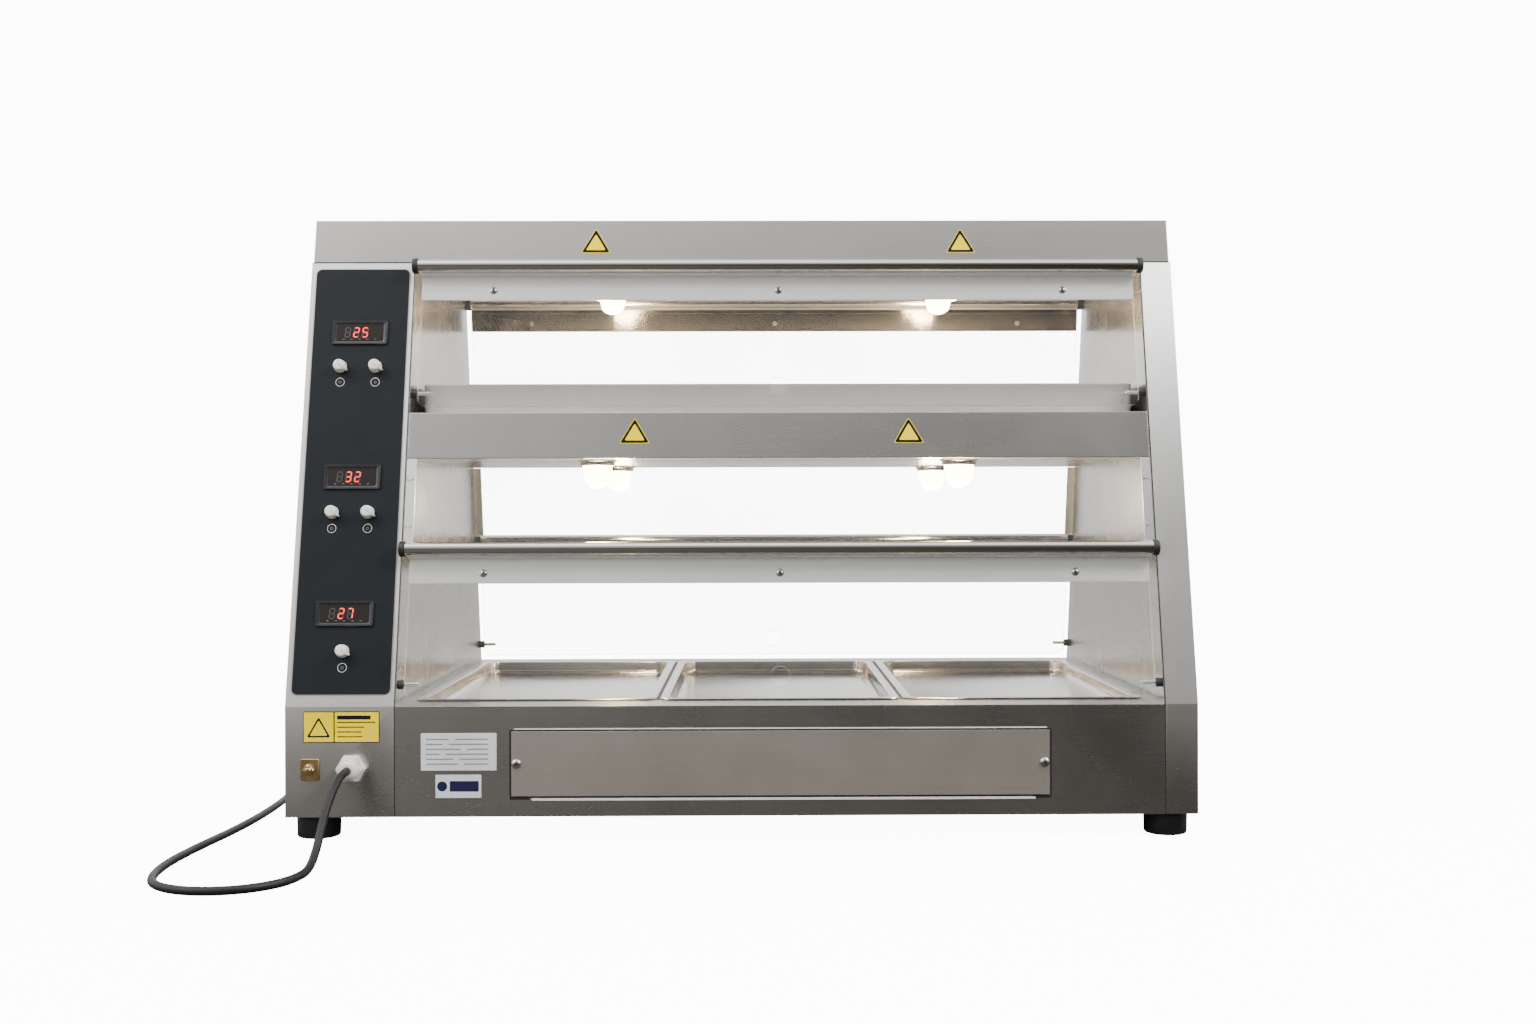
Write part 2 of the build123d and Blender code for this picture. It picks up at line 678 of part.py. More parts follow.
def plug_pins():
    pin = Cylinder(2.4, 19, align=(Align.CENTER, Align.CENTER, Align.MIN))
    up = PLUG_NECK + PLUG_LENGTH
    pins = [Pos(0, sy * PLUG_PIN_SPACING / 2, up) * pin for sy in (-1, 1)]
    return plug_plane() * Compound(children=pins)


def main():
    os.makedirs("parts", exist_ok=True)

    write("left_column_cover", left_column_cover())
    write("right_column_cover", column_cover(1))
    write("left_inner_wall", inner_wall(-1))
    write("right_inner_wall", inner_wall(1))

    hood_half = HALF_W - 2.0 - SHEET
    write("hood_cover", hood_cover())
    write("hood_lamp_plate", plate_with_lamp_holes("hood", -hood_half, hood_half, SHEET))
    write("shelf_housing", shelf_housing())
    write("shelf_lamp_plate", plate_with_lamp_holes("shelf", OPENING_LEFT, OPENING_RIGHT, SHEET))

    write("top_deck", top_deck())
    write("base_front_panel", base_front())
    write("base_rear_panel", base_skirt(1))
    inner = HALF_DEPTH - SHEET
    floor = block(SHEET - HALF_W, HALF_W - SHEET, -inner, inner, FOOT_HEIGHT, FOOT_HEIGHT + SHEET)
    write("base_floor_plate", floor)
    half = SERVICE_PANEL[0] / 2
    panel = block(MID_X - half, MID_X + half, -HALF_DEPTH - SHEET, -HALF_DEPTH,
                  SERVICE_Z - SERVICE_PANEL[1] / 2, SERVICE_Z + SERVICE_PANEL[1] / 2)
    for sx in (-1, 1):
        panel -= rod_y(SCREW_SHANK_R, MID_X + sx * SERVICE_SCREW, SERVICE_Z,
                       -HALF_DEPTH - 2 * SHEET, -HALF_DEPTH + SHEET)
    write("service_panel", panel)
    write("service_panel_screws", service_screws())
    write("rubber_feet", rubber_feet())

    write("lamp_flanges", lamp_flanges())
    write("lamp_domes", lamp_domes())
    write("lamp_bulbs", lamp_bulbs())
    write("base_heating_elements", heating_elements(146.0, 290.0, 190.0, 3, PAN_PITCH))
    write("shelf_heating_elements", heating_elements(552.0, 290.0, 130.0, 3, PAN_PITCH))

    front_pane = fixed_pane()
    write("front_fixed_pane", front_pane)
    write("rear_fixed_pane", mirror(front_pane, about=Plane.XZ))
    posts = [side_post(side) for side in (-1, 1)]
    posts += [mirror(post, about=Plane.XZ) for post in posts]
    write("side_posts", Compound(children=posts))
    write("pivot_bushes", pivot_bushes())

    pieces = flap_pieces()
    for end, side in (("front", -1), ("rear", 1)):
        for tier, pivot_z in FLAP_PIVOTS_Z.items():
            for name, shape in pieces.items():
                write(f"{end}_{tier}_flap_{name}", place_flap(shape, pivot_z, side))

    for i, place in enumerate(("left", "middle", "right")):
        write(f"{place}_pan", Pos(MID_X + (i - 1) * PAN_PITCH, 0, BEND_Z) * pan())
    write("shelf_tray", Pos(MID_X, 0, SHELF_TOP_Z) * tray())

    write("control_overlay", control_overlay())
    write("temperature_controllers", temperature_controllers())
    write("display_windows", display_windows())
    write("rotary_switches", rotary_switches())
    for name, (x, z) in KNOBS.items():
        write(name, knob(x, z))

    write("cable_gland", cable_gland())
    write("earth_terminal", earth_terminal())
    coil = cord_coil()
    run = cord_tube(ROUTE, "cord") - coil
    tail = cord_tube(TAIL, "tail") - coil
    write("power_cord", Compound(children=[run, tail]))
    write("cord_coil", coil)
    write("plug_body", plug_body())
    write("plug_pins", plug_pins())


main()
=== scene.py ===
"""Look of the electric buffet server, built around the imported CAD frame. Metres, +Z up."""

import json
from math import cos, pi, radians, sin

import bmesh
import bpy
from mathutils import Matrix, Vector


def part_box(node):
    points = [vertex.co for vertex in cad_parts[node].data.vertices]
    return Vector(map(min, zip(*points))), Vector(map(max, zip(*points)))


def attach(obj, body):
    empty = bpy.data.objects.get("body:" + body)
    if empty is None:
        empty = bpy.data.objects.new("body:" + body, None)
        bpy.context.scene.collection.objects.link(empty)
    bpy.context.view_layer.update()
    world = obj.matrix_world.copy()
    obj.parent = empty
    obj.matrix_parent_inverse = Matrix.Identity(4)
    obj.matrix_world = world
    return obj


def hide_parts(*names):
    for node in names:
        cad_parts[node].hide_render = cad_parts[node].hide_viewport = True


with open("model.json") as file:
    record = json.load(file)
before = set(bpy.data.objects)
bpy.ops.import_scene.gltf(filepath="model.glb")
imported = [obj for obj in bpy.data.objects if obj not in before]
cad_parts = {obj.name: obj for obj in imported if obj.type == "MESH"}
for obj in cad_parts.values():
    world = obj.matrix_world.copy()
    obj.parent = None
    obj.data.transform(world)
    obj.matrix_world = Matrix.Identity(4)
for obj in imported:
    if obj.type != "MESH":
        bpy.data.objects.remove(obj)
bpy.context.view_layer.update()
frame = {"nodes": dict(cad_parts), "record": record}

# ---- places taken from the frame -----------------------------------------------------------
MM = 0.001
LEAN = radians(12.5)
FRONT_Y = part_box("base_front_panel")[0][1]
REAR_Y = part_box("base_rear_panel")[1][1]
MIDDLE_Y = (FRONT_Y + REAR_Y) / 2
BEND_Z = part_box("top_deck")[1][2]
OPEN_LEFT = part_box("left_inner_wall")[1][0]
OPEN_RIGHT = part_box("right_inner_wall")[0][0]
MID_X = (OPEN_LEFT + OPEN_RIGHT) / 2
COLUMN_MID = (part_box("control_overlay")[0][0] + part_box("control_overlay")[1][0]) / 2
JOINTS = {j["name"]: j for j in frame["record"]["behaviour"]["joints"]}
FRONT_FACE = Matrix.Translation((0, FRONT_Y, BEND_Z)) @ Matrix.Rotation(-LEAN, 4, "X")
FRONT_TO_REAR = Matrix.Translation((0, 2 * MIDDLE_Y, 0)) @ Matrix.Scale(-1, 4, (0, 1, 0))


def shift(x=0.0, y=0.0, z=0.0):
    return Matrix.Translation((x, y, z))


def slope_up(z):
    """Distance up the leaning face of a height."""
    return (z - BEND_Z) / cos(LEAN)


def on_face(x, z, out=0.0):
    """Frame on the leaning front: X across, Y up the slope, Z outwards."""
    return FRONT_FACE @ shift(x, -out, slope_up(z)) @ Matrix.Rotation(pi / 2, 4, "X")


def on_base(x, z, out=0.0):
    """Frame on the upright base front: X across, Y up, Z outwards."""
    return shift(x, FRONT_Y - out, z) @ Matrix.Rotation(pi / 2, 4, "X")


# ---- camera ----------------------------------------------------------------------------------
LENS_MM = 36.5
CAMERA_BACK = 2.045
CAMERA_X = 0.0165
CAMERA_Z = 0.4355
CAMERA_TURN = 0.0085
CAMERA_TIP = -0.0022
CAMERA_ROLL = 0.0024


def make_camera():
    data = bpy.data.cameras.new("camera")
    data.lens = LENS_MM
    data.sensor_width = 36.0
    data.clip_end = 100.0
    camera = bpy.data.objects.new("camera", data)
    bpy.context.scene.collection.objects.link(camera)
    turn = Matrix.Rotation(-CAMERA_TURN, 4, "Z")
    tip = Matrix.Rotation(pi / 2 + CAMERA_TIP, 4, "X")
    roll = Matrix.Rotation(-CAMERA_ROLL, 4, "Z")
    camera.matrix_world = shift(CAMERA_X, FRONT_Y - CAMERA_BACK, CAMERA_Z) @ turn @ tip @ roll
    bpy.context.scene.camera = camera


make_camera()


# ---- materials ---------------------------------------------------------------------------------
NOISE_LOW, NOISE_HIGH = 0.3, 0.7  # nearly all noise values lie between these


def new_material(name):
    mat = bpy.data.materials.new(name)
    mat.use_nodes = True
    nodes = mat.node_tree.nodes
    nodes.clear()
    out = nodes.new("ShaderNodeOutputMaterial")
    shader = nodes.new("ShaderNodeBsdfPrincipled")
    mat.node_tree.links.new(shader.outputs[0], out.inputs[0])
    return mat, shader


def math_node(tree, operation, *inputs):
    """Math node fed by sockets or plain numbers."""
    node = tree.nodes.new("ShaderNodeMath")
    node.operation = operation
    for socket, value in zip(node.inputs, inputs):
        if isinstance(value, (int, float)):
            socket.default_value = value
        else:
            tree.links.new(value, socket)
    return node.outputs[0]


def noise(mat, scale, stretch=(1, 1, 1), detail=2.0):
    """Noise in the object's own coordinates, stretched along an axis by a small scale there."""
    tree = mat.node_tree
    coords = tree.nodes.new("ShaderNodeTexCoord")
    mapping = tree.nodes.new("ShaderNodeMapping")
    mapping.inputs["Scale"].default_value = stretch
    tex = tree.nodes.new("ShaderNodeTexNoise")
    tex.inputs["Scale"].default_value = scale
    tex.inputs["Detail"].default_value = detail
    tree.links.new(coords.outputs["Object"], mapping.inputs["Vector"])
    tree.links.new(mapping.outputs["Vector"], tex.inputs["Vector"])
    return tex.outputs["Fac"]


def spread(mat, source, low, high, start=NOISE_LOW, end=NOISE_HIGH):
    """Value stretched from one range to another."""
    node = mat.node_tree.nodes.new("ShaderNodeMapRange")
    node.inputs["From Min"].default_value = start
    node.inputs["From Max"].default_value = end
    node.inputs["To Min"].default_value = low
    node.inputs["To Max"].default_value = high
    mat.node_tree.links.new(source, node.inputs["Value"])
    return node.outputs["Result"]


def two_tone(mat, source, dark, light):
    """Colour between two tones, following a noise value."""
    ramp = mat.node_tree.nodes.new("ShaderNodeValToRGB")
    ramp.color_ramp.elements[0].position = NOISE_LOW
    ramp.color_ramp.elements[0].color = (*dark, 1)
    ramp.color_ramp.elements[1].position = NOISE_HIGH
    ramp.color_ramp.elements[1].color = (*light, 1)
    mat.node_tree.links.new(source, ramp.inputs["Fac"])
    return ramp.outputs["Color"]


def bump(mat, shader, source, strength, distance):
    """Relief from a noise value, at a height in metres."""
    node = mat.node_tree.nodes.new("ShaderNodeBump")
    node.inputs["Strength"].default_value = strength
    node.inputs["Distance"].default_value = distance
    mat.node_tree.links.new(source, node.inputs["Height"])
    mat.node_tree.links.new(node.outputs["Normal"], shader.inputs["Normal"])


def brushed(name, grain, colour, rough, spread_of_rough=0.005, aniso=0.6, metallic=1.0):
    """Brushed steel whose grain runs along an axis, with faint streaks and handling marks."""
    mat, shader = new_material(name)
    stretch = {"X": (0.01, 1, 1), "Y": (1, 0.01, 1), "Z": (1, 1, 0.01)}[grain]
    across = {"X": (0, 1, 1), "Y": (1, 0, 1), "Z": (1, 1, 0)}[grain]
    fine = noise(mat, 520.0, stretch, 1.0)
    broad = noise(mat, 150.0, stretch, 1.0)
    smears = noise(mat, 7.0, (1, 1, 1), 4.0)
    dark = tuple(c * 0.985 for c in colour)
    light = tuple(min(c * 1.01, 1.0) for c in colour)
    links = mat.node_tree.links
    links.new(two_tone(mat, broad, dark, light), shader.inputs["Base Color"])
    grain_rough = spread(mat, fine, rough - spread_of_rough, rough + spread_of_rough)
    whole_rough = math_node(mat.node_tree, "ADD", grain_rough, spread(mat, smears, -0.02, 0.05))
    links.new(whole_rough, shader.inputs["Roughness"])
    shader.inputs["Metallic"].default_value = metallic
    shader.inputs["Anisotropic"].default_value = aniso
    tangent = mat.node_tree.nodes.new("ShaderNodeCombineXYZ")
    for i, value in enumerate(across):
        tangent.inputs[i].default_value = value
    links.new(tangent.outputs[0], shader.inputs["Tangent"])
    return mat


def polished(name, colour, rough):
    """Drawn or turned bright metal with faint wear."""
    mat, shader = new_material(name)
    marks = noise(mat, 55.0, (1, 1, 1), 5.0)
    dark = tuple(c * 0.92 for c in colour)
    mat.node_tree.links.new(two_tone(mat, marks, dark, colour), shader.inputs["Base Color"])
    mat.node_tree.links.new(spread(mat, marks, rough * 0.8, rough * 1.35), shader.inputs["Roughness"])
    shader.inputs["Metallic"].default_value = 1.0
    return mat


def moulded(name, colour, rough, grain=0.25, grain_scale=900.0, gloss=0.5):
    """Moulded plastic or rubber with a fine texture and slight colour variation."""
    mat, shader = new_material(name)
    skin = noise(mat, grain_scale, (1, 1, 1), 3.0)
    cloud = noise(mat, 22.0, (1, 1, 1), 3.0)
    dark = tuple(c * 0.86 for c in colour)
    mat.node_tree.links.new(two_tone(mat, cloud, dark, colour), shader.inputs["Base Color"])
    mat.node_tree.links.new(spread(mat, cloud, rough * 0.9, rough * 1.12), shader.inputs["Roughness"])
    shader.inputs["Specular IOR Level"].default_value = gloss
    bump(mat, shader, skin, grain, 0.0001)
    return mat


def glowing(name, colour, strength):
    """Lit frosted glass with a slight cloud of warmer tone."""
    mat, shader = new_material(name)
    cloud = noise(mat, 60.0, (1, 1, 1), 2.0)
    warm = (colour[0], colour[1] * 0.9, colour[2] * 0.78)
    mat.node_tree.links.new(two_tone(mat, cloud, warm, colour), shader.inputs["Emission Color"])
    shader.inputs["Base Color"].default_value = (*colour, 1)
    shader.inputs["Emission Strength"].default_value = strength
    shader.inputs["Roughness"].default_value = 0.4
    return mat


def clear_acrylic(name):
    """Clear sheet: nearly all see-through face on, mirroring more at grazing angles."""
    mat, shader = new_material(name)
    layer = mat.node_tree.nodes.new("ShaderNodeLayerWeight")
    layer.inputs["Blend"].default_value = 0.25
    haze = noise(mat, 5.0, (1, 1, 1), 4.0)
    slant = spread(mat, layer.outputs["Facing"], 0.045, 0.7, 0.15, 1.0)
    opacity = math_node(mat.node_tree, "ADD", slant, spread(mat, haze, 0.0, 0.03))
    mat.node_tree.links.new(opacity, shader.inputs["Alpha"])
    shader.inputs["Base Color"].default_value = (0.16, 0.165, 0.17, 1)
    shader.inputs["Roughness"].default_value = 0.03
    shader.inputs["Specular IOR Level"].default_value = 1.0
    return mat


def acrylic_edge(name):
    """Polished cut edge of the clear sheet, which gathers light."""
    mat, shader = new_material(name)
    cloud = noise(mat, 40.0, (1, 1, 1), 2.0)
    links = mat.node_tree.links
    links.new(two_tone(mat, cloud, (0.74, 0.79, 0.78), (0.92, 0.94, 0.93)), shader.inputs["Base Color"])
    shader.inputs["Alpha"].default_value = 0.55
    shader.inputs["Roughness"].default_value = 0.15
    return mat


MATS = {
    "shell_x": brushed("steel_brushed_across", "X", (0.56, 0.54, 0.515), 0.27),
    # the shell steel with its grain upwards, painted brighter as the light on the leaning column faces and
    # side posts
    "shell_z_bright": brushed("steel_brushed_upwards_painted_bright", "Z", (0.9, 0.885, 0.865), 0.34, 0.006, 0.88),
    # satin steel for the tray, painted brighter as the light falling on the shelf tray
    "satin": brushed("steel_satin_painted_bright", "X", (0.9, 0.875, 0.84), 0.48, 0.008, 0.3, 0.75),
    # the same satin steel painted darker, as shade on the service panel
    "satin_darker": brushed("steel_satin_painted_darker", "X", (0.65, 0.6, 0.54), 0.42, 0.008, 0.3, 0.95),
    # dark copy of the strip's finish for its inner face: painted shade and dark reflection; its streaks come
    # from its gloss
    "strip_back_streaked_shaded": brushed("strip_back_painted_dark", "X", (0.2, 0.185, 0.165), 0.18, 0.02, 0.94),
    # the shell steel painted darker, as shade on the deck round and between the pans
    "deck": brushed("steel_deck_painted_darker", "X", (0.34, 0.325, 0.305), 0.25, 0.012, 0.5),
    "shell_y": brushed("steel_brushed_front_to_back", "Y", (0.56, 0.545, 0.52), 0.32),
    # steel painted darker, as shade on the inner walls and lamp plates inside the cabinet
    "inside": brushed("steel_inside_painted_shaded", "Z", (0.43, 0.42, 0.41), 0.24, 0.012, 0.4),
    "pan": brushed("steel_pan", "X", (0.6, 0.585, 0.565), 0.17, 0.015, 0.2),
    "rail": brushed("steel_rail", "X", (0.6, 0.585, 0.56), 0.13, 0.03, 0.3),
    "strip": brushed("aluminium_strip", "X", (0.93, 0.925, 0.9), 0.42, 0.03, 0.4, 0.7),
    "screw": polished("steel_screw", (0.6, 0.59, 0.57), 0.22),
    # near-black standing in for the shade in the gaps between the pans
    "gap_shade_black": moulded("painted_gap_shade_black", (0.03, 0.02, 0.014), 0.6, 0.1),
    "dark": moulded("shadow_black", (0.012, 0.012, 0.012), 0.6),
    "rubber": moulded("rubber_black", (0.013, 0.013, 0.014), 0.55),
    "plastic": moulded("plastic_black", (0.025, 0.025, 0.027), 0.4),
    "overlay": moulded("overlay_film_dark", (0.006, 0.0085, 0.012), 0.5, 0.12, 1500.0, 0.25),
    "window": moulded("display_window_dark", (0.012, 0.008, 0.008), 0.08, 0.02),
    "bezel": moulded("bezel_black", (0.018, 0.018, 0.02), 0.28, 0.12),
    # light grey for printed marks, and for the painted highlights on the service panel's lips
    "print": moulded("print_light_grey", (0.72, 0.72, 0.7), 0.5, 0.05),
    "print_dim": moulded("print_dim_grey", (0.25, 0.26, 0.27), 0.5, 0.05),
    "red": glowing("display_red", (1.0, 0.035, 0.03), 2.2),
    "red_dim": moulded("display_off_segment", (0.06, 0.045, 0.045), 0.4, 0.02),
    "cream": moulded("knob_cream", (0.86, 0.84, 0.77), 0.3, 0.08),
    "white": moulded("plastic_white", (0.78, 0.78, 0.76), 0.38, 0.1),
    "brass": polished("brass_terminal", (0.62, 0.45, 0.2), 0.3),
    "rod": moulded("heating_rod", (0.12, 0.1, 0.085), 0.5, 0.3),
    "cord": moulded("cord_jacket", (0.004, 0.004, 0.0045), 0.55, 0.2),
    "label": moulded("label_white", (0.72, 0.73, 0.75), 0.35, 0.05),
    "label_ink": moulded("label_ink", (0.008, 0.008, 0.008), 0.6, 0.05, gloss=0.1),
    "label_blue": moulded("label_blue", (0.008, 0.01, 0.055), 0.4, 0.05),
    "yellow": moulded("label_yellow", (1.0, 0.76, 0.0), 0.6, 0.03, gloss=0.03),
    "dome": glowing("lamp_frosted", (1.0, 0.76, 0.42), 26.0),
    "bulb": glowing("lamp_bulb", (1.0, 0.8, 0.5), 14.0),
    "clear": clear_acrylic("acrylic_clear"),
    "edge": acrylic_edge("acrylic_edge"),
}


# ---- mesh helpers ------------------------------------------------------------------------------
def finish_mesh(name, bm, mats, smooth_angle=40.0):
    """Turns a bmesh into an object with smooth shading except across sharp edges."""
    bmesh.ops.recalc_face_normals(bm, faces=bm.faces)
    mesh = bpy.data.meshes.new(name)
    bm.to_mesh(mesh)
    bm.free()
    for mat in mats:
        mesh.materials.append(MATS[mat])
    for face in mesh.polygons:
        face.use_smooth = True
    mesh.set_sharp_from_angle(angle=radians(smooth_angle))
    obj = bpy.data.objects.new(name, mesh)
    bpy.context.scene.collection.objects.link(obj)
    return obj


def keep_flat(obj):
    """Keeps flat faces flat next to small rounded edges."""
    mod = obj.modifiers.new("weighted", "WEIGHTED_NORMAL")
    mod.keep_sharp = True
    mod.weight = 80


def mount_piece(obj, body, slot, *nodes):
    """Object on its body, in place of the CAD nodes named; its slot is not used."""
    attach(obj, body)
    if nodes:
        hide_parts(*nodes)
    return obj


def piece(name, bm, mats, body, slot, *nodes, smooth_angle=40.0):
    """Finished mesh on its body, in place of the CAD nodes named."""
    return mount_piece(finish_mesh(name, bm, mats, smooth_angle), body, slot, *nodes)


def body_of(node):
    for body, members in frame["record"]["behaviour"]["bodies"].items():
        if node in members:
            return body
    raise KeyError(node)


def slot_of(node):
    for entry in frame["record"]["subparts"]:
        if entry["node"] == node:
            return entry["material_slot"]
    raise KeyError(node)


def refined(node, mat, radius=0.0008, segments=2, upright=None):
    """Sheet-metal version of a CAD node with rolled edges, its upright fronts in their own grain."""
    bm = bmesh.new()
    bm.from_mesh(frame["nodes"][node].data)
    bmesh.ops.remove_doubles(bm, verts=bm.verts, dist=1e-5)
    bmesh.ops.dissolve_limit(bm, angle_limit=radians(1.0), verts=bm.verts, edges=bm.edges)
    sharp = [e for e in bm.edges if e.is_manifold and e.calc_face_angle() > radians(35)]
    bmesh.ops.bevel(bm, geom=sharp, offset=radius, segments=segments, profile=0.6,
                    affect="EDGES", clamp_overlap=True)
    if upright:
        bm.normal_update()
        for face in bm.faces:
            face.material_index = 1 if abs(face.normal.y) > 0.999 else 0
    obj = finish_mesh("look_" + node, bm, [mat, upright] if upright else [mat])
    keep_flat(obj)
    return mount_piece(obj, body_of(node), slot_of(node), node)


def painted(node, mat):
    """A CAD node kept as it is, with a finished material."""
    obj = frame["nodes"][node]
    obj.data.materials.clear()
    obj.data.materials.append(MATS[mat])
    return obj


def add_mesh(bm, verts, faces, matrix=None, mat=0):
    made = [bm.verts.new(matrix @ Vector(v) if matrix else Vector(v)) for v in verts]
    flip = matrix is not None and matrix.determinant() < 0
    for f in faces:
        ring = [made[i] for i in f]
        if flip:
            ring.reverse()
        face = bm.faces.new(ring)
        face.material_index = mat
    return made


def add_rings(bm, rings, matrix=None, mat=0, close=False, cap_start=False, cap_end=False):
    """Skin over a list of rings with the same number of points."""
    count = len(rings[0])
    verts = [p for ring in rings for p in ring]
    faces = []
    spans = len(rings) if close else len(rings) - 1
    for k in range(spans):
        a = k * count
        b = ((k + 1) % len(rings)) * count
        for i in range(count):
            j = (i + 1) % count
            faces.append((a + i, a + j, b + j, b + i))
    if cap_start:
        faces.append(tuple(reversed(range(count))))
    if cap_end:
        faces.append(tuple(range((len(rings) - 1) * count, len(rings) * count)))
    return add_mesh(bm, verts, faces, matrix, mat)


def circle(radius, height, steps):
    """Ring of evenly spaced points about Z, a hexagon with six steps."""
    angles = [2 * pi * i / steps for i in range(steps)]
    return [(radius * cos(a), radius * sin(a), height) for a in angles]


def add_lathe(bm, profile, matrix=None, mat=0, steps=40, hollow=False):
    """Turned piece about Z from a profile of (radius, height), with flat ends or, hollow, a closed wall."""
    rings = [circle(r, h, steps) for r, h in profile]
    return add_rings(bm, rings, matrix, mat, close=hollow, cap_start=not hollow, cap_end=not hollow)


def rounded_rect(half_w, half_d, corner, z, per_corner=7):
    """Ring of points round a rectangle with rounded corners."""
    points = []
    corner = max(corner, 1e-4)
    for k, (sx, sy) in enumerate(((1, 1), (-1, 1), (-1, -1), (1, -1))):
        cx = sx * (half_w - corner)
        cy = sy * (half_d - corner)
        for i in range(per_corner):
            a = pi / 2 * (k + i / (per_corner - 1))
            points.append((cx + corner * cos(a), cy + corner * sin(a), z))
    return points


def add_slab(bm, half_w, half_h, corner, low, high, matrix, edge=0.0004, mat=0, per_corner=5):
    """Flat plate with rounded corners and softened edges, from height low to high."""
    inset = (half_w - edge, half_h - edge, max(corner - edge, 0.0001))
    rings = [
        rounded_rect(*inset, low, per_corner),
        rounded_rect(half_w, half_h, corner, low + edge, per_corner),
        rounded_rect(half_w, half_h, corner, high - edge, per_corner),
        rounded_rect(*inset, high, per_corner),
    ]
    return add_rings(bm, rings, matrix, mat, cap_start=True, cap_end=True)


def add_printed_ring(bm, radius, thick, z, matrix, mat=0):
    """Thin flat ring, as a printed circle."""
    inner = radius - thick / 2
    outer = radius + thick / 2
    top = z + 0.0002
    return add_lathe(bm, [(inner, z), (outer, z), (outer, top), (inner, top)], matrix, mat, 32, hollow=True)


def add_button_screw(bm, radius, height, matrix):
    """Domed screw head with a hexagonal socket in the second material, a flat disk painted dark as the shade
    in the socket.
    """
    arc = [(radius * cos(a), height * sin(a)) for a in (radians(d) for d in (0, 18, 36, 54, 68))]
    socket = radius * 0.36
    profile = [(radius * 0.98, 0.0)] + arc + [(socket * 1.1, height * 0.97)]
    add_lathe(bm, profile, matrix, steps=28)
    add_lathe(bm, [(socket, height * 0.98), (socket, height)], matrix, 1, 6)


# ---- cord ------------------------------------------------------------------------------------------
CORD_D = 0.0105
FLOOR_RUN = CORD_D / 2 + 0.00005
COIL_X = -0.530
COIL_R = 0.057
COIL_TURNS = 2
COIL_STEPS = 16
COIL_FAR = -0.788
PLUG_Z = 0.015
# Route of the cord: X, distance in front of the base, height.
ROUTE = [
    (-0.512, 0.028, 0.097),
    (-0.512, 0.054, 0.097),
    (-0.514, 0.080, 0.086),
    (-0.518, 0.103, 0.063),
    (-0.519, 0.124, 0.038),
    (-0.519, 0.148, 0.016),
    (-0.518, 0.178, FLOOR_RUN),
    (-0.518, 0.212, FLOOR_RUN),
    (-0.530, 0.248, FLOOR_RUN),
    (-0.560, 0.275, FLOOR_RUN),
    (-0.601, 0.286, FLOOR_RUN),
    (-0.644, 0.278, FLOOR_RUN),
    (-0.678, 0.250, FLOOR_RUN),
    (-0.694, 0.208, FLOOR_RUN),
    (-0.701, 0.140, FLOOR_RUN),
    (-0.695, 0.048, FLOOR_RUN),
    (-0.682, -0.062, FLOOR_RUN),
    (-0.678, -0.190, FLOOR_RUN),
    (-0.686, -0.325, FLOOR_RUN),
    (-0.688, -0.460, FLOOR_RUN),
    (-0.679, -0.580, FLOOR_RUN),
    (-0.678, -0.668, FLOOR_RUN),
    (-0.661, -0.730, FLOOR_RUN),
    (-0.620, -0.773, FLOOR_RUN),
    (-0.570, -0.788, FLOOR_RUN),
]
TAIL = [
    (-0.503, -0.789, 0.0256),
    (-0.476, -0.794, 0.0195),
    (-0.450, -0.803, PLUG_Z),
    (-0.424, -0.814, PLUG_Z),
]


def cord_points():
    """Control points of the whole cord: route, wound turns, tail to the plug."""
    points = [Vector((x, FRONT_Y - ahead, z)) for x, ahead, z in ROUTE]
    centre = Vector((COIL_X, FRONT_Y - COIL_FAR - COIL_R, 0))
    total = COIL_TURNS * COIL_STEPS
    for k in range(total + 1):
        angle = pi / 2 - 2 * pi * k / COIL_STEPS
        reach = COIL_R / cos(pi / COIL_STEPS)
        height = FLOOR_RUN + CORD_D * k / COIL_STEPS
        points.append(centre + Vector((reach * cos(angle), reach * sin(angle), height)))
    points += [Vector((x, FRONT_Y - ahead, z)) for x, ahead, z in TAIL]
    return points


def plug_frame():
    """Frame of the plug: Z away from the cord, X up."""
    a, b = [Vector((x, FRONT_Y - ahead, z)) for x, ahead, z in TAIL[-2:]]
    away = (b - a).normalized()
    up = Vector((0, 0, 1))
    side = away.cross(up)
    turn = Matrix((up, side, away)).transposed().to_4x4()
    return Matrix.Translation(b) @ turn


def make_plug():
    place = plug_frame()
    bm = bmesh.new()
    half_t = 0.01495
    rings = []
    for z, w, t, c in ((0.0, 0.0070, 0.0070, 0.0069), (0.004, 0.0076, 0.0076, 0.0075),
                       (0.018, 0.0105, 0.0100, 0.0095), (0.022, 0.0150, 0.0132, 0.0080),
                       (0.028, 0.0168, half_t, 0.0080), (0.052, 0.0170, half_t, 0.0080),
                       (0.0565, 0.0166, 0.0145, 0.0078), (0.058, 0.0155, 0.0135, 0.0070)):
        rings.append(rounded_rect(t, w, c, z, 6))
    add_rings(bm, rings, place, cap_start=True, cap_end=True)
    for k in range(4):
        z = 0.0035 + 0.004 * k
        r = 0.0078 + 0.0006 * k
        rib = [(r, z), (r + 0.0006, z + 0.0004), (r + 0.0006, z + 0.0012), (r, z + 0.0016)]
        add_lathe(bm, rib, place, steps=24)
    plug = piece("plug_moulding", bm, ["cord"], "cabinet", "cord_jacket", "plug_body")
    bm = bmesh.new()
    for side in (-1, 1):
        pin = place @ shift(0, side * 0.0095, 0.0578)
        add_lathe(bm, [(0.0024, 0), (0.0024, 0.0168), (0.0021, 0.0184), (0.0012, 0.0192)], pin, steps=20)
    pins = piece("plug_contact_pins", bm, ["screw"], "cabinet", "screw_steel", "plug_pins")
    return plug, pins


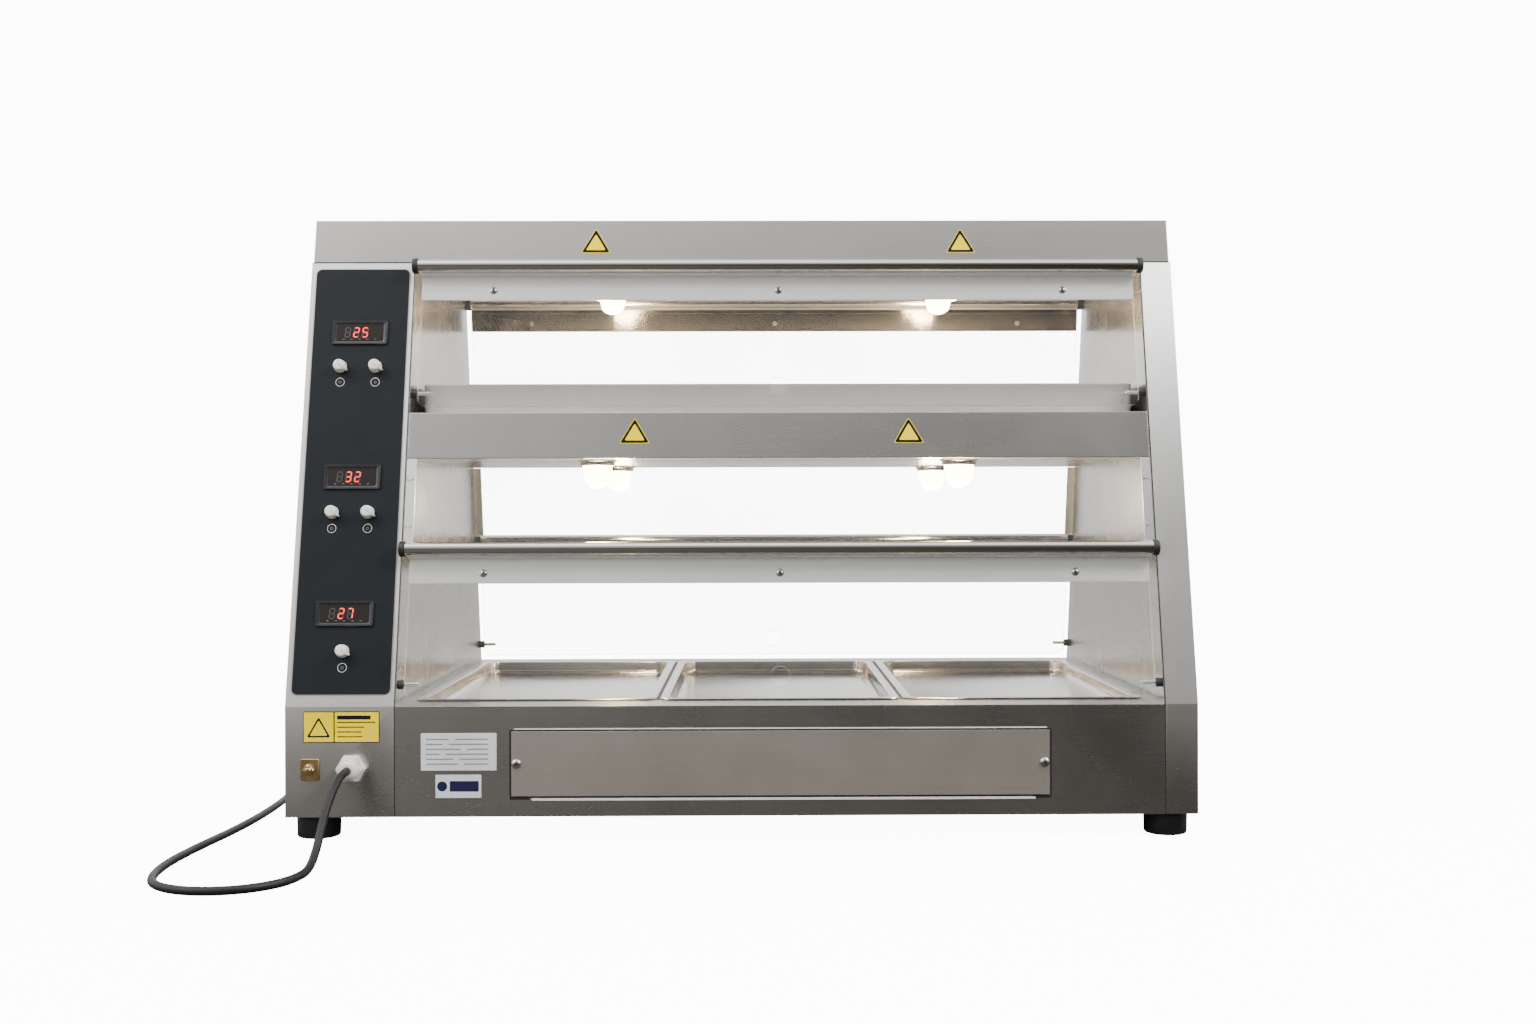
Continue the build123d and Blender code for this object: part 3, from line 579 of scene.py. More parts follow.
def make_cord():
    curve = bpy.data.curves.new("supply_cord", "CURVE")
    curve.dimensions = "3D"
    curve.bevel_depth = CORD_D / 2
    curve.bevel_resolution = 5
    curve.use_fill_caps = True
    curve.resolution_u = 8
    spline = curve.splines.new("NURBS")
    points = cord_points()
    spline.points.add(len(points) - 1)
    for spot, point in zip(spline.points, points):
        spot.co = (*point, 1.0)
    spline.order_u = 3
    spline.use_endpoint_u = True
    curve.materials.append(MATS["cord"])
    cord = bpy.data.objects.new("supply_cord", curve)
    bpy.context.scene.collection.objects.link(cord)
    mount_piece(cord, "cabinet", "cord_jacket", "power_cord", "cord_coil")
    plug, pins = make_plug()


make_cord()

# ---- shell -------------------------------------------------------------------------------------------
refined("hood_cover", "shell_x", 0.0018, 3)
refined("shelf_housing", "shell_x", 0.0015, 3)
# leaning faces in the painted-bright copy, upright fronts in the plain shell steel
refined("left_column_cover", "shell_z_bright", 0.0009, 2, "shell_x")
refined("right_column_cover", "shell_z_bright", 0.0009, 2, "shell_x")
refined("left_inner_wall", "inside", 0.0006, 2)
refined("right_inner_wall", "inside", 0.0006, 2)
refined("hood_lamp_plate", "inside", 0.0006, 2)
refined("shelf_lamp_plate", "inside", 0.0006, 2)
refined("top_deck", "deck", 0.0009, 3)
refined("base_front_panel", "shell_x", 0.0008, 2)
refined("base_rear_panel", "shell_x", 0.0008, 2)
refined("base_floor_plate", "shell_y", 0.0006, 1)
refined("service_panel", "satin_darker", 0.0007, 2)
refined("side_posts", "shell_z_bright", 0.0004, 2)
refined("control_overlay", "overlay", 0.0003, 2)
refined("pivot_bushes", "plastic", 0.0005, 2)
painted("base_heating_elements", "rod")
painted("shelf_heating_elements", "rod")
painted("rotary_switches", "plastic")

# ---- detailed pieces -----------------------------------------------------------------------------------
ALONG_X = Matrix.Rotation(pi / 2, 4, "Y")


def mm(points):
    return [tuple(v * MM for v in point) for point in points]


def soften(points, radius, steps=3):
    """Outline with each corner replaced by a short arc."""
    out = []
    for i, point in enumerate(points):
        p = Vector(point)
        before = (Vector(points[i - 1]) - p).normalized()
        after = (Vector(points[(i + 1) % len(points)]) - p).normalized()
        a = p + before * radius
        b = p + after * radius
        for k in range(steps + 1):
            t = k / steps
            out.append(tuple(a * (1 - t) ** 2 + p * 2 * t * (1 - t) + b * t ** 2))
    return out


def add_extrusion(bm, outline, x0, x1, matrix):
    """Outline in (Y, Z) drawn out along X."""
    rings = [[(x, y, z) for y, z in outline] for x in (x0, x1)]
    return add_rings(bm, rings, matrix, cap_start=True, cap_end=True)


def add_hex(bm, radius, low, high, matrix, mat=0, chamfer=0.0007):
    """Hexagonal nut or head with chamfered ends."""
    end = radius - chamfer
    profile = [(end, low), (radius, low + chamfer), (radius, high - chamfer), (end, high)]
    return add_lathe(bm, profile, matrix, mat, 6)


# flaps: sizes in the flap's own frame, pivot axis on X, pane up Z, outside towards -Y
PANE_HALF = 0.4965
PANE_FRONT = -0.0025
TUBE_AT = (-0.0205, 0.1783)
TUBE_HALF = 0.503
SCREW_UP = 0.1483
SCREW_SPACING = 0.397
RAIL_OUTLINE = mm([(-4.5, 134.3), (-2.5, 134.3), (-2.5, 170.3), (-15.5, 170.3),
                   (-15.5, 173.3), (-17.5, 173.3), (-17.5, 168.3), (-4.5, 168.3)])


def flap_frame(end, tier):
    """Frame of a flap at rest; the rear ones are the front ones mirrored."""
    pivot = Vector(JOINTS["front_" + tier + "_flap_swing"]["pos_m"])
    place = Matrix.Translation(pivot) @ Matrix.Rotation(-LEAN, 4, "X")
    if end == "rear":
        place = FRONT_TO_REAR @ place
    return place


def clear_pane(node, inward, body, name):
    """Clear sheet with bright polished edges, from the CAD outline."""
    bm = bmesh.new()
    bm.from_mesh(frame["nodes"][node].data)
    bmesh.ops.remove_doubles(bm, verts=bm.verts, dist=1e-5)
    bmesh.ops.dissolve_limit(bm, angle_limit=radians(1.0), verts=bm.verts, edges=bm.edges)
    sharp = [e for e in bm.edges if e.is_manifold and e.calc_face_angle() > radians(60)]
    bmesh.ops.bevel(bm, geom=sharp, offset=0.0004, segments=1, profile=0.5,
                    affect="EDGES", clamp_overlap=True)
    for face in bm.faces:
        face.material_index = 0 if abs(face.normal.dot(inward)) > 0.98 else 1
    return piece(name, bm, ["clear", "edge"], body, "clear_pane", node)


def make_flap(end, tier):
    body = end + "_" + tier + "_flap"
    place = flap_frame(end, tier)
    inward = (place.to_3x3() @ Vector((0, 1, 0))).normalized()
    clear_pane(body + "_pane", inward, body, body + "_sheet")

    bm = bmesh.new()
    add_extrusion(bm, soften(RAIL_OUTLINE, 0.0006), -PANE_HALF, PANE_HALF, place)
    bm.normal_update()
    # the strip's inner face takes the dark copy of its finish, painted shade and reflection of the dark
    # inside
    for face in bm.faces:
        if abs(face.normal.dot(inward)) > 0.9 and (place.inverted() @ face.calc_center_median()).y > -0.003:
            face.material_index = 2
    tube = place @ shift(0, *TUBE_AT) @ ALONG_X
    wall = mm([(7.5, -503), (8.8, -503), (9, -502.8), (9, 502.8), (8.8, 503), (7.5, 503)])
    add_lathe(bm, wall, tube, 1, 48, hollow=True)
    piece(body + "_handle_rail", bm, ["strip", "rail", "strip_back_streaked_shaded"], body, "rail_aluminium", body + "_rail")

    bm = bmesh.new()
    cap = mm([(9.0, -4), (10.3, -4), (10.7, -3.6), (10.7, 2.4), (10.2, 3.4), (9.2, 4.0), (6.0, 4.0)])
    for side in (-1, 1):
        turn = Matrix.Scale(side, 4, (0, 0, 1))
        add_lathe(bm, cap, tube @ turn @ shift(0, 0, TUBE_HALF), steps=36)
    piece(body + "_end_caps", bm, ["rubber"], body, "black_rubber", body + "_rail_caps")

    bm = bmesh.new()
    for i in (-1, 0, 1):
        spot = place @ shift(i * SCREW_SPACING, PANE_FRONT - 0.002, SCREW_UP)
        head = spot @ Matrix.Rotation(pi / 2, 4, "X")
        add_lathe(bm, mm([(5.6, -0.02), (5.6, 0.3), (5.2, 0.45)]), head, steps=28)
        add_button_screw(bm, 0.0048, 0.0025, head)
        shank = head @ shift(0, 0, -0.0095)
        add_lathe(bm, mm([(1.7, 0), (2.0, 0.4), (2.0, 9.5)]), shank, steps=16)
        add_hex(bm, 0.0045, -0.01, -0.007, head, chamfer=0.0004)
    for side in (-1, 1):
        pin = place @ ALONG_X @ Matrix.Scale(side, 4, (0, 0, 1))
        add_lathe(bm, mm([(2.2, 478.5), (2.5, 479), (2.5, 510.4), (2.0, 511)]), pin, steps=20)
    piece(body + "_fixings", bm, ["screw", "dark"], body, "screw_steel", body + "_pins_and_screws")


for flap_end in ("front", "rear"):
    for flap_tier in ("lower", "upper"):
        make_flap(flap_end, flap_tier)

front_inward = (FRONT_FACE.to_3x3() @ Vector((0, 1, 0))).normalized()
rear_inward = Vector((front_inward.x, -front_inward.y, front_inward.z))
clear_pane("front_fixed_pane", front_inward, "cabinet", "front_shelf_sheet")
clear_pane("rear_fixed_pane", rear_inward, "cabinet", "rear_shelf_sheet")


# pans and tray: (half width, half depth, corner, height) from the outside bottom to the inside floor
PAN_RINGS = [
    (143.5, 246, 15, 157), (149.2, 251.7, 20.7, 159.3), (151.5, 254, 23, 165), (151.5, 254, 23, 177),
    (161.7, 264.2, 13.2, 177), (162.5, 265, 14, 177.6), (162.5, 265, 14, 178.4), (161.7, 264.2, 13.2, 179),
    (153, 255.5, 23, 179), (150.8, 253.3, 22.3, 178.4), (150, 252.5, 21.5, 176.6), (149.6, 252.1, 21.1, 166),
    (148.4, 250.9, 19.9, 161.7), (145.6, 248.1, 17.1, 159.3), (140.5, 243, 13, 158.5),
]
TRAY_RINGS = [
    (488, 192, 8, 567.5), (492.9, 196.9, 12.9, 569.4), (494.4, 198.4, 14.4, 573), (494.4, 198.4, 14.4, 604.5),
    (495, 199, 15, 605.4), (495, 199, 15, 608.7), (494.2, 198.2, 14.2, 609.5), (492.6, 196.6, 12.6, 609.5),
    (491.9, 195.9, 11.9, 608.4), (491.9, 195.9, 11.9, 574), (489.6, 193.6, 9.6, 570), (485.5, 189.5, 6, 569),
]
HALF_PAN_PITCH = 0.165


def ring_set(rows, x, y):
    """Rounded rectangles about (x, y) from rows in mm."""
    return [[(px + x, py + y, pz) for px, py, pz in rounded_rect(w * MM, d * MM, c * MM, z * MM, 8)]
            for w, d, c, z in rows]


def make_pan(node):
    low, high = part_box(node)
    x = (low[0] + high[0]) / 2
    bm = bmesh.new()
    add_rings(bm, ring_set(PAN_RINGS, x, MIDDLE_Y), cap_start=True, cap_end=True)
    piece(node + "_pressed", bm, ["pan"], node, "pan_steel", node)


def make_pan_gaps():
    """Near-black strips on the deck between the pans, painted shade of the gaps there."""
    bm = bmesh.new()
    for side in (-1, 1):
        place = shift(MID_X + side * HALF_PAN_PITCH, MIDDLE_Y, BEND_Z)
        add_slab(bm, 0.0023, 0.262, 0.0015, 0.0, 0.0003, place, 0.0001)
    piece("deck_gap_strips", bm, ["gap_shade_black"], "cabinet", "brushed_inside")


for pan_node in ("left_pan", "middle_pan", "right_pan"):
    make_pan(pan_node)
make_pan_gaps()

tray_mesh = bmesh.new()
add_rings(tray_mesh, ring_set(TRAY_RINGS, MID_X, MIDDLE_Y), cap_start=True, cap_end=True)
piece("tray_pressed", tray_mesh, ["satin"], "shelf_tray", "pan_steel", "shelf_tray")

# lamps: heights below the plate, in mm
FLANGE = mm([(12, 22), (14, 22), (14, 0), (27.5, 0), (27.5, -1.8), (26.7, -2.6), (24.8, -3.2), (24.0, -7.2),
             (23.2, -8), (21.1, -8), (21, -2), (12, -2)])
ARC = [radians(d) for d in range(0, 91, 9)]
DOME = [(0.0208, -0.002), (0.0208, -0.011), (0.0200, -0.018)]
DOME += [(max(0.0182 * cos(a), 0.0002), -0.0258 - 0.0142 * sin(a)) for a in ARC]
DOME += [(max(0.0160 * cos(a), 0.0002), -0.0252 - 0.0125 * sin(a)) for a in reversed(ARC)]
DOME += [(0.0176, -0.018), (0.0183, -0.002)]
BULB = [(0.005, -0.002), (0.0055, -0.008), (0.009, -0.016)]
BULB += [(max(0.009 * cos(a), 0.0002), -0.019 - 0.009 * sin(a)) for a in ARC]
LAMP_X = (MID_X - 0.255, MID_X + 0.255)
GLOW_DROP = 0.062  # height of each lamp's light under its plate
# each lamp plate's underside, and how far its lamps stand in front of and behind the middle
LAMP_LEVELS = ((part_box("shelf_lamp_plate")[0][2], 0.170), (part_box("hood_lamp_plate")[0][2], 0.076))


def lamp_spots():
    """Middle of each lamp's flange on the underside of its plate."""
    return [(x, MIDDLE_Y + side * reach, z) for z, reach in LAMP_LEVELS for x in LAMP_X for side in (-1, 1)]


def make_lamps():
    for node, profile, mat, slot, hollow in (("lamp_flanges", FLANGE, "rail", "pan_steel", True),
                                             ("lamp_domes", DOME, "dome", "frosted_glass", True),
                                             ("lamp_bulbs", BULB, "bulb", "bulb_glass", False)):
        bm = bmesh.new()
        for spot in lamp_spots():
            add_lathe(bm, profile, Matrix.Translation(spot), steps=48, hollow=hollow)
        piece(node + "_turned", bm, [mat], "cabinet", slot, node, smooth_angle=50)


make_lamps()

# controls
DISPLAYS = ((0.679, "25"), (0.479, "32"), (0.297, "27"))
KNOBS = {  # X from the column's middle, height
    "upper_left_knob": (-0.024, 0.631),
    "upper_right_knob": (0.024, 0.631),
    "middle_left_knob": (-0.024, 0.431),
    "middle_right_knob": (0.024, 0.431),
    "lower_knob": (0.0, 0.248),
}
KNOB_PROFILE = mm([(3, -22), (3, 0), (8.4, 0), (8.8, 0.5), (8.8, 2), (8.3, 2.8), (7.9, 10.2), (7.4, 12),
                   (6.3, 12.8), (4.5, 13)])
KNOB_BACK = 0.0023


def make_knob(node):
    x, z = KNOBS[node]
    place = on_face(COLUMN_MID + x, z, KNOB_BACK)
    bm = bmesh.new()
    add_lathe(bm, KNOB_PROFILE, place, steps=36)
    beak = place @ Matrix.Rotation(radians(-30), 4, "Z")
    rings = []
    for h, tip, half in ((0.0004, 0.0108, 0.0016), (0.0010, 0.0112, 0.0019), (0.0085, 0.0112, 0.0017),
                         (0.0098, 0.0104, 0.0012)):
        rings.append([(0.005, -half * 1.5, h), (tip - 0.0006, -half * 0.8, h), (tip, -half * 0.4, h),
                      (tip, half * 0.4, h), (tip - 0.0006, half * 0.8, h), (0.005, half * 1.5, h)])
    add_rings(bm, rings, beak, cap_start=True, cap_end=True)
    mark = beak @ shift(0.0024)
    add_slab(bm, 0.0026, 0.0004, 0.0003, 0.0129, 0.01325, mark, 0.0001, 1, 3)
    piece(node + "_moulded", bm, ["cream", "print_dim"], node, "cream_plastic", node)


for knob_node in KNOBS:
    make_knob(knob_node)

BEZEL_RINGS = ((35, 15, 1, -55), (35, 15, 1, 1), (38, 17, 2.5, 1), (38, 17, 2.5, 3.4), (37.4, 16.4, 1.9, 4.0),
               (33.4, 13.4, 2.2, 4.0), (32.0, 12.0, 1.2, 3.0), (32.0, 12.0, 1.2, 2.5))
SEGMENTS = {"a": (0, 1, True), "b": (1, 0.5, False), "c": (1, -0.5, False), "d": (0, -1, True),
            "e": (-1, -0.5, False), "f": (-1, 0.5, False), "g": (0, 0, True)}
DIGITS = {"2": "abged", "3": "abgcd", "5": "afgcd", "7": "abc", "8": "abcdefg"}
DIGIT_W = 0.0032
DIGIT_H = 0.0066
STROKE = 0.0008


def add_digit(bm, shape, x, lift, matrix, mat):
    """Slanted seven-segment digit centred on x."""
    slant = Matrix(((1, 0.1, 0, x), (0, 1, 0, 0), (0, 0, 1, lift), (0, 0, 0, 1)))
    for name in DIGITS[shape]:
        sx, sy, flat = SEGMENTS[name]
        cx = 0 if flat else sx * DIGIT_W
        cy = sy * DIGIT_H
        half = (DIGIT_W if flat else DIGIT_H / 2) - STROKE * 0.35
        tip = half - STROKE
        ring = [(-half, 0), (-tip, -STROKE), (tip, -STROKE), (half, 0), (tip, STROKE), (-tip, STROKE)]
        if not flat:
            ring = [(-b, a) for a, b in ring]
        rings = [[(cx + a, cy + b, h) for a, b in ring] for h in (0.0, 0.0002)]
        add_rings(bm, rings, matrix @ slant, mat, cap_start=True, cap_end=True)


def make_displays():
    bm = bmesh.new()
    glass = bmesh.new()
    for z, text in DISPLAYS:
        place = on_face(COLUMN_MID, z)
        rings = [rounded_rect(w * MM, h * MM, c * MM, out * MM, 5) for w, h, c, out in BEZEL_RINGS]
        add_rings(bm, rings, place, cap_start=True, cap_end=True)
        add_slab(glass, 0.0319, 0.0119, 0.0012, 0.0025, 0.0035, place, 0.0002)
        add_digit(glass, "8", -0.0165, 0.0035, place, 2)
        for x, shape in zip((-0.0045, 0.0075), text):
            add_digit(glass, "8", x, 0.0034, place, 2)
            add_digit(glass, shape, x, 0.0036, place, 1)
        for i in range(5):
            tick = place @ shift(-0.022 + 0.011 * i, -0.0098, 0)
            add_slab(glass, 0.0016, 0.0003, 0.0002, 0.0034, 0.0037, tick, 0.0001, 3, 2)
    piece("controller_bezels", bm, ["bezel"], "cabinet", "black_plastic", "temperature_controllers")
    piece("controller_windows", glass, ["window", "red", "red_dim", "print_dim"], "cabinet", "display_window",
          "display_windows")


make_displays()


def add_outline(bm, half_w, half_h, corner, width, low, high, matrix):
    """Thin raised line round a rounded rectangle."""
    rings = [rounded_rect(half_w, half_h, corner, low), rounded_rect(half_w, half_h, corner, high),
             rounded_rect(half_w - width, half_h - width, corner - width, high),
             rounded_rect(half_w - width, half_h - width, corner - width, low)]
    return add_rings(bm, rings, matrix, close=True)


def make_overlay_print():
    """Printed rings under the knobs and the overlay's bright margin."""
    bm = bmesh.new()
    for x, z in KNOBS.values():
        place = on_face(COLUMN_MID + x, z - 0.021)
        add_printed_ring(bm, 0.0058, 0.0006, 0.001, place)
        add_printed_ring(bm, 0.0017, 0.0004, 0.001, place, 1)
    piece("overlay_marks", bm, ["print", "print_dim"], "cabinet", "overlay_film")
    low, high = 0.192, 0.770
    middle = (low + high) / 2
    bm = bmesh.new()
    half_h = (high - low) / 2 / cos(LEAN)
    add_outline(bm, 0.0654, half_h + 0.0004, 0.0084, 0.0009, 0.0002, 0.0011, on_face(COLUMN_MID, middle))
    piece("overlay_margin", bm, ["rail"], "cabinet", "overlay_film")


make_overlay_print()

# supply and small hardware
GLAND = (-0.512, 0.097)
EARTH = (-0.567, 0.095)
GLAND_RIBS = 24
FOOT_R = 0.029


def make_gland():
    place = on_base(*GLAND)
    bm = bmesh.new()
    add_hex(bm, 0.0192, 0.0, 0.010, place, chamfer=0.001)
    add_lathe(bm, mm([(15.0, 9.6), (15.0, 10.4)]), place)
    add_hex(bm, 0.0174, 0.0102, 0.0188, place, chamfer=0.001)
    dome = [(14.5, 18.6), (14.4, 20), (13.4, 22.6), (11.6, 24.8), (9.9, 26.2), (9.3, 27.6), (8.4, 28)]
    add_lathe(bm, mm(dome + [(5.5, 28), (5.4, 26)]), place)
    add_lathe(bm, mm([(10, -2), (10, 0.1)]), place)
    add_hex(bm, 0.015, -0.010, -0.002, place)
    for k in range(GLAND_RIBS):
        rib = place @ Matrix.Rotation(2 * pi * k / GLAND_RIBS, 4, "Z") @ shift(0.0136, 0, 0.0205)
        add_slab(bm, 0.0006, 0.0005, 0.0002, -0.0015, 0.0015, rib, 0.0001, 0, 2)
    piece("gland_moulded", bm, ["white"], "cabinet", "white_plastic", "cable_gland", smooth_angle=30)


def make_earth_terminal():
    place = on_base(*EARTH)
    bm = bmesh.new()
    add_slab(bm, 0.012, 0.014, 0.0016, 0.0, 0.003, place, 0.0005)
    add_lathe(bm, mm([(7.2, 3), (7.2, 3.9), (6.9, 4.1)]), place, 1)
    add_hex(bm, 0.0072, 0.0041, 0.010, place, 0)
    thread = [(4.0 if k % 2 else 3.6, 10 + 0.35 * k) for k in range(10)]
    add_lathe(bm, mm([(3.9, 3)] + thread + [(3.3, 13.8), (2.6, 14)]), place, 0, 24)
    piece("earth_terminal_turned", bm, ["brass", "screw"], "cabinet", "terminal_brass", "earth_terminal",
          smooth_angle=30)


def make_feet():
    profile = mm([(7, 4), (7, 0.6), (7.8, 0), (25.6, 0), (27.2, 0.6), (28.2, 2.2), (29.0, 30.0), (28.8, 31.6),
                  (28.3, 32), (7, 32)])
    low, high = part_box("rubber_feet")
    bm = bmesh.new()
    for x in (low[0] + FOOT_R, high[0] - FOOT_R):
        for y in (low[1] + FOOT_R, high[1] - FOOT_R):
            add_lathe(bm, profile, shift(x, y, 0), steps=48)
            add_hex(bm, 0.0065, 0.001, 0.0035, shift(x, y, 0), 1)
    piece("feet_moulded", bm, ["rubber", "screw"], "cabinet", "black_rubber", "rubber_feet")


SERVICE_Z = 0.1015
SERVICE_SCREW = 0.347


def make_service_fixings():
    bm = bmesh.new()
    for side in (-1, 1):
        place = on_base(MID_X + side * SERVICE_SCREW, SERVICE_Z, 0.002)
        add_button_screw(bm, 0.0064, 0.0034, place)
        add_lathe(bm, mm([(2.5, -11.5), (2.5, 0.2)]), place, steps=16)
    piece("service_screws", bm, ["screw", "dark"], "cabinet", "screw_steel", "service_panel_screws")
    # dark outline and corner notches painted as the shade in the gap round the service panel
    bm = bmesh.new()
    for side in (-1, 1):
        notch = on_base(MID_X + side * 0.3430, SERVICE_Z - 0.0448)
        add_slab(bm, 0.0130, 0.0022, 0.0008, 0.0, 0.0005, notch, 0.0001)
    add_outline(bm, 0.3562, 0.0446, 0.002, 0.0032, 0.0, 0.0004, on_base(MID_X, SERVICE_Z))
    piece("service_panel_gap", bm, ["dark"], "cabinet", "brushed_shell")
    # light grey strips painted as the highlights along the lips above and below the service panel
    bm = bmesh.new()
    add_slab(bm, 0.331, 0.0016, 0.0007, 0.0, 0.0008, on_base(MID_X + 0.004, 0.0545), 0.0002)
    add_slab(bm, 0.350, 0.0008, 0.0004, 0.0, 0.0008, on_base(MID_X, 0.1470), 0.0002)
    piece("service_panel_lip", bm, ["print"], "cabinet", "brushed_shell")


make_gland()
make_earth_terminal()
make_feet()
make_service_fixings()


# stickers: X and height of each, and the softened edge of thin film
TRIANGLES_AT = ((-0.205, 0.8055), (0.306, 0.8055), (-0.147, 0.5365), (0.227, 0.5365))
NOTICE_AT = (-0.526, 0.1505)
PLATE_AT = (-0.3725, 0.1174)
WHITE_AT = (-0.373, 0.0722)
SIGN_X = -0.0296
FILM_EDGE = 0.00005


def add_triangle(bm, size, low, high, matrix, mat):
    """Flat equal-sided triangle with rounded corners, its tip up."""
    corners = [(-size / 2, -size * 0.289), (size / 2, -size * 0.289), (0, size * 0.577)]
    ring = soften(corners, size * 0.09, 4)
    rings = [[(x, y, h) for x, y in ring] for h in (low, high)]
    add_rings(bm, rings, matrix, mat, cap_start=True, cap_end=True)


def make_labels():
    """Plain stickers: four bare warning triangles, a yellow notice, a rating plate and a white notice."""
    bm = bmesh.new()
    for x, z in TRIANGLES_AT:
        place = on_face(x, z)
        add_triangle(bm, 0.0420, 0.0, 0.0002, place, 0)
        add_triangle(bm, 0.0395, 0.0002, 0.0003, place, 1)
        add_triangle(bm, 0.0275, 0.0003, 0.0004, place, 0)
    place = on_base(*NOTICE_AT)
    add_slab(bm, 0.050, 0.0205, 0.0015, 0.0, 0.0002, place, 0.0001, 1)
    add_slab(bm, 0.0194, 0.0194, 0.0008, 0.0002, 0.0003, place @ shift(SIGN_X), FILM_EDGE, 0)
    add_slab(bm, 0.0287, 0.0194, 0.0008, 0.0002, 0.0003, place @ shift(0.0202), FILM_EDGE, 0)
    sign = place @ shift(SIGN_X, -0.0045, 0)
    add_triangle(bm, 0.0310, 0.0003, 0.0004, sign, 1)
    add_triangle(bm, 0.0235, 0.0004, 0.0005, sign, 0)
    for row, width in enumerate((0.044, 0.050, 0.036, 0.032, 0.033)):
        thick = 0.0026 if row == 0 else 0.0007
        bar = place @ shift(-0.0055 + width / 2, 0.0125 - 0.0063 * row, 0)
        add_slab(bm, width / 2, thick, 0.0003, 0.0003, 0.0004, bar, FILM_EDGE, 1, 2)
    piece("warning_stickers", bm, ["yellow", "label_ink"], "cabinet", "brushed_shell")

    bm = bmesh.new()
    place = on_base(*PLATE_AT)
    add_slab(bm, 0.0495, 0.0245, 0.0015, 0.0, 0.0005, place, 0.0002, 0)
    for row, widths in enumerate(((34, 48), (26, 56), (50, 32), (22, 60), (40, 42), (46, 36))):
        x = -0.045
        for width in widths:
            bar = place @ shift(x + width * MM / 2, 0.0165 - 0.0065 * row, 0)
            add_slab(bm, width * MM / 2 - 0.002, 0.0009, 0.0003, 0.0005, 0.0006, bar, FILM_EDGE, 1, 2)
            x += width * MM + 0.004
    piece("rating_plate", bm, ["label", "print_dim"], "cabinet", "brushed_shell")

    bm = bmesh.new()
    place = on_base(*WHITE_AT)
    add_slab(bm, 0.030, 0.0152, 0.001, 0.0, 0.0002, place, 0.0001, 0)
    add_lathe(bm, mm([(6.6, 0.2), (6.6, 0.3)]), place @ shift(-0.0213), 1)
    add_slab(bm, 0.0190, 0.0069, 0.0006, 0.0002, 0.0003, place @ shift(0.0077), FILM_EDGE, 1, 2)
    piece("white_sticker", bm, ["label", "label_blue"], "cabinet", "brushed_shell")


make_labels()


def make_seams():
    """Dark joint lines between the sheet-metal covers, front and rear."""
    bm = bmesh.new()
    base_low, face_high, hood_edge = 0.033, 0.7797, 0.7796
    for side in (Matrix(), FRONT_TO_REAR):
        for x in (OPEN_LEFT - 0.0017, OPEN_RIGHT + 0.0017):
            mid = (base_low + BEND_Z) / 2
            half = (BEND_Z - base_low) / 2
            add_slab(bm, 0.0006, half, 0.0002, 0.0, 0.0002, side @ on_base(x, mid), FILM_EDGE, 0, 2)
            mid = (BEND_Z + face_high) / 2
            half = (face_high - BEND_Z) / 2 / cos(LEAN)
            add_slab(bm, 0.0006, half, 0.0002, 0.0, 0.0002, side @ on_face(x, mid), FILM_EDGE, 0, 2)
        add_slab(bm, 0.598, 0.0006, 0.0002, 0.0, 0.0002, side @ on_face(0, hood_edge), FILM_EDGE, 0, 2)
    piece("cover_joints", bm, ["dark"], "cabinet", "brushed_shell")


make_seams()


# ---- stage and light ----------------------------------------------------------------------------------
def make_stage():
    """Floor that the camera sees as pale, mirrored darker in front of the cabinet than behind it."""
    bm = bmesh.new()
    reach = 12.0
    bmesh.ops.create_grid(bm, x_segments=1, y_segments=1, size=reach)
    mesh = bpy.data.meshes.new("floor")
    bm.to_mesh(mesh)
    bm.free()
    floor = bpy.data.objects.new("floor", mesh)
    bpy.context.scene.collection.objects.link(floor)
    mat = bpy.data.materials.new("floor_pale")
    mat.use_nodes = True
    tree = mat.node_tree
    tree.nodes.clear()
    out = tree.nodes.new("ShaderNodeOutputMaterial")
    mix = tree.nodes.new("ShaderNodeMixShader")
    lit = tree.nodes.new("ShaderNodeBsdfDiffuse")
    lit.inputs["Color"].default_value = (0.9, 0.9, 0.9, 1)
    glow = tree.nodes.new("ShaderNodeEmission")
    glow.inputs["Strength"].default_value = 11.0
    seen = tree.nodes.new("ShaderNodeAddShader")
    tree.links.new(lit.outputs[0], seen.inputs[0])
    tree.links.new(glow.outputs[0], seen.inputs[1])
    mirrored = tree.nodes.new("ShaderNodeBsdfDiffuse")
    coords = tree.nodes.new("ShaderNodeTexCoord")
    split = tree.nodes.new("ShaderNodeSeparateXYZ")
    front = tree.nodes.new("ShaderNodeMix")
    front.data_type = "RGBA"
    front.inputs[6].default_value = (0.105, 0.1, 0.092, 1)
    front.inputs[7].default_value = (0.015, 0.0135, 0.0115, 1)
    whole = tree.nodes.new("ShaderNodeMix")
    whole.data_type = "RGBA"
    whole.inputs[7].default_value = (0.75, 0.73, 0.7, 1)
    tree.links.new(coords.outputs["Object"], split.inputs[0])
    tree.links.new(spread(mat, split.outputs["X"], 0.0, 1.0, -1.2, 0.9), front.inputs[0])
    tree.links.new(spread(mat, split.outputs["Y"], 0.0, 1.0, -0.3, 0.5), whole.inputs[0])
    tree.links.new(front.outputs[2], whole.inputs[6])
    tree.links.new(whole.outputs[2], mirrored.inputs["Color"])
    path = tree.nodes.new("ShaderNodeLightPath")
    tree.links.new(path.outputs["Is Camera Ray"], mix.inputs[0])
    tree.links.new(mirrored.outputs[0], mix.inputs[1])
    tree.links.new(seen.outputs[0], mix.inputs[2])
    tree.links.new(mix.outputs[0], out.inputs[0])
    mesh.materials.append(mat)


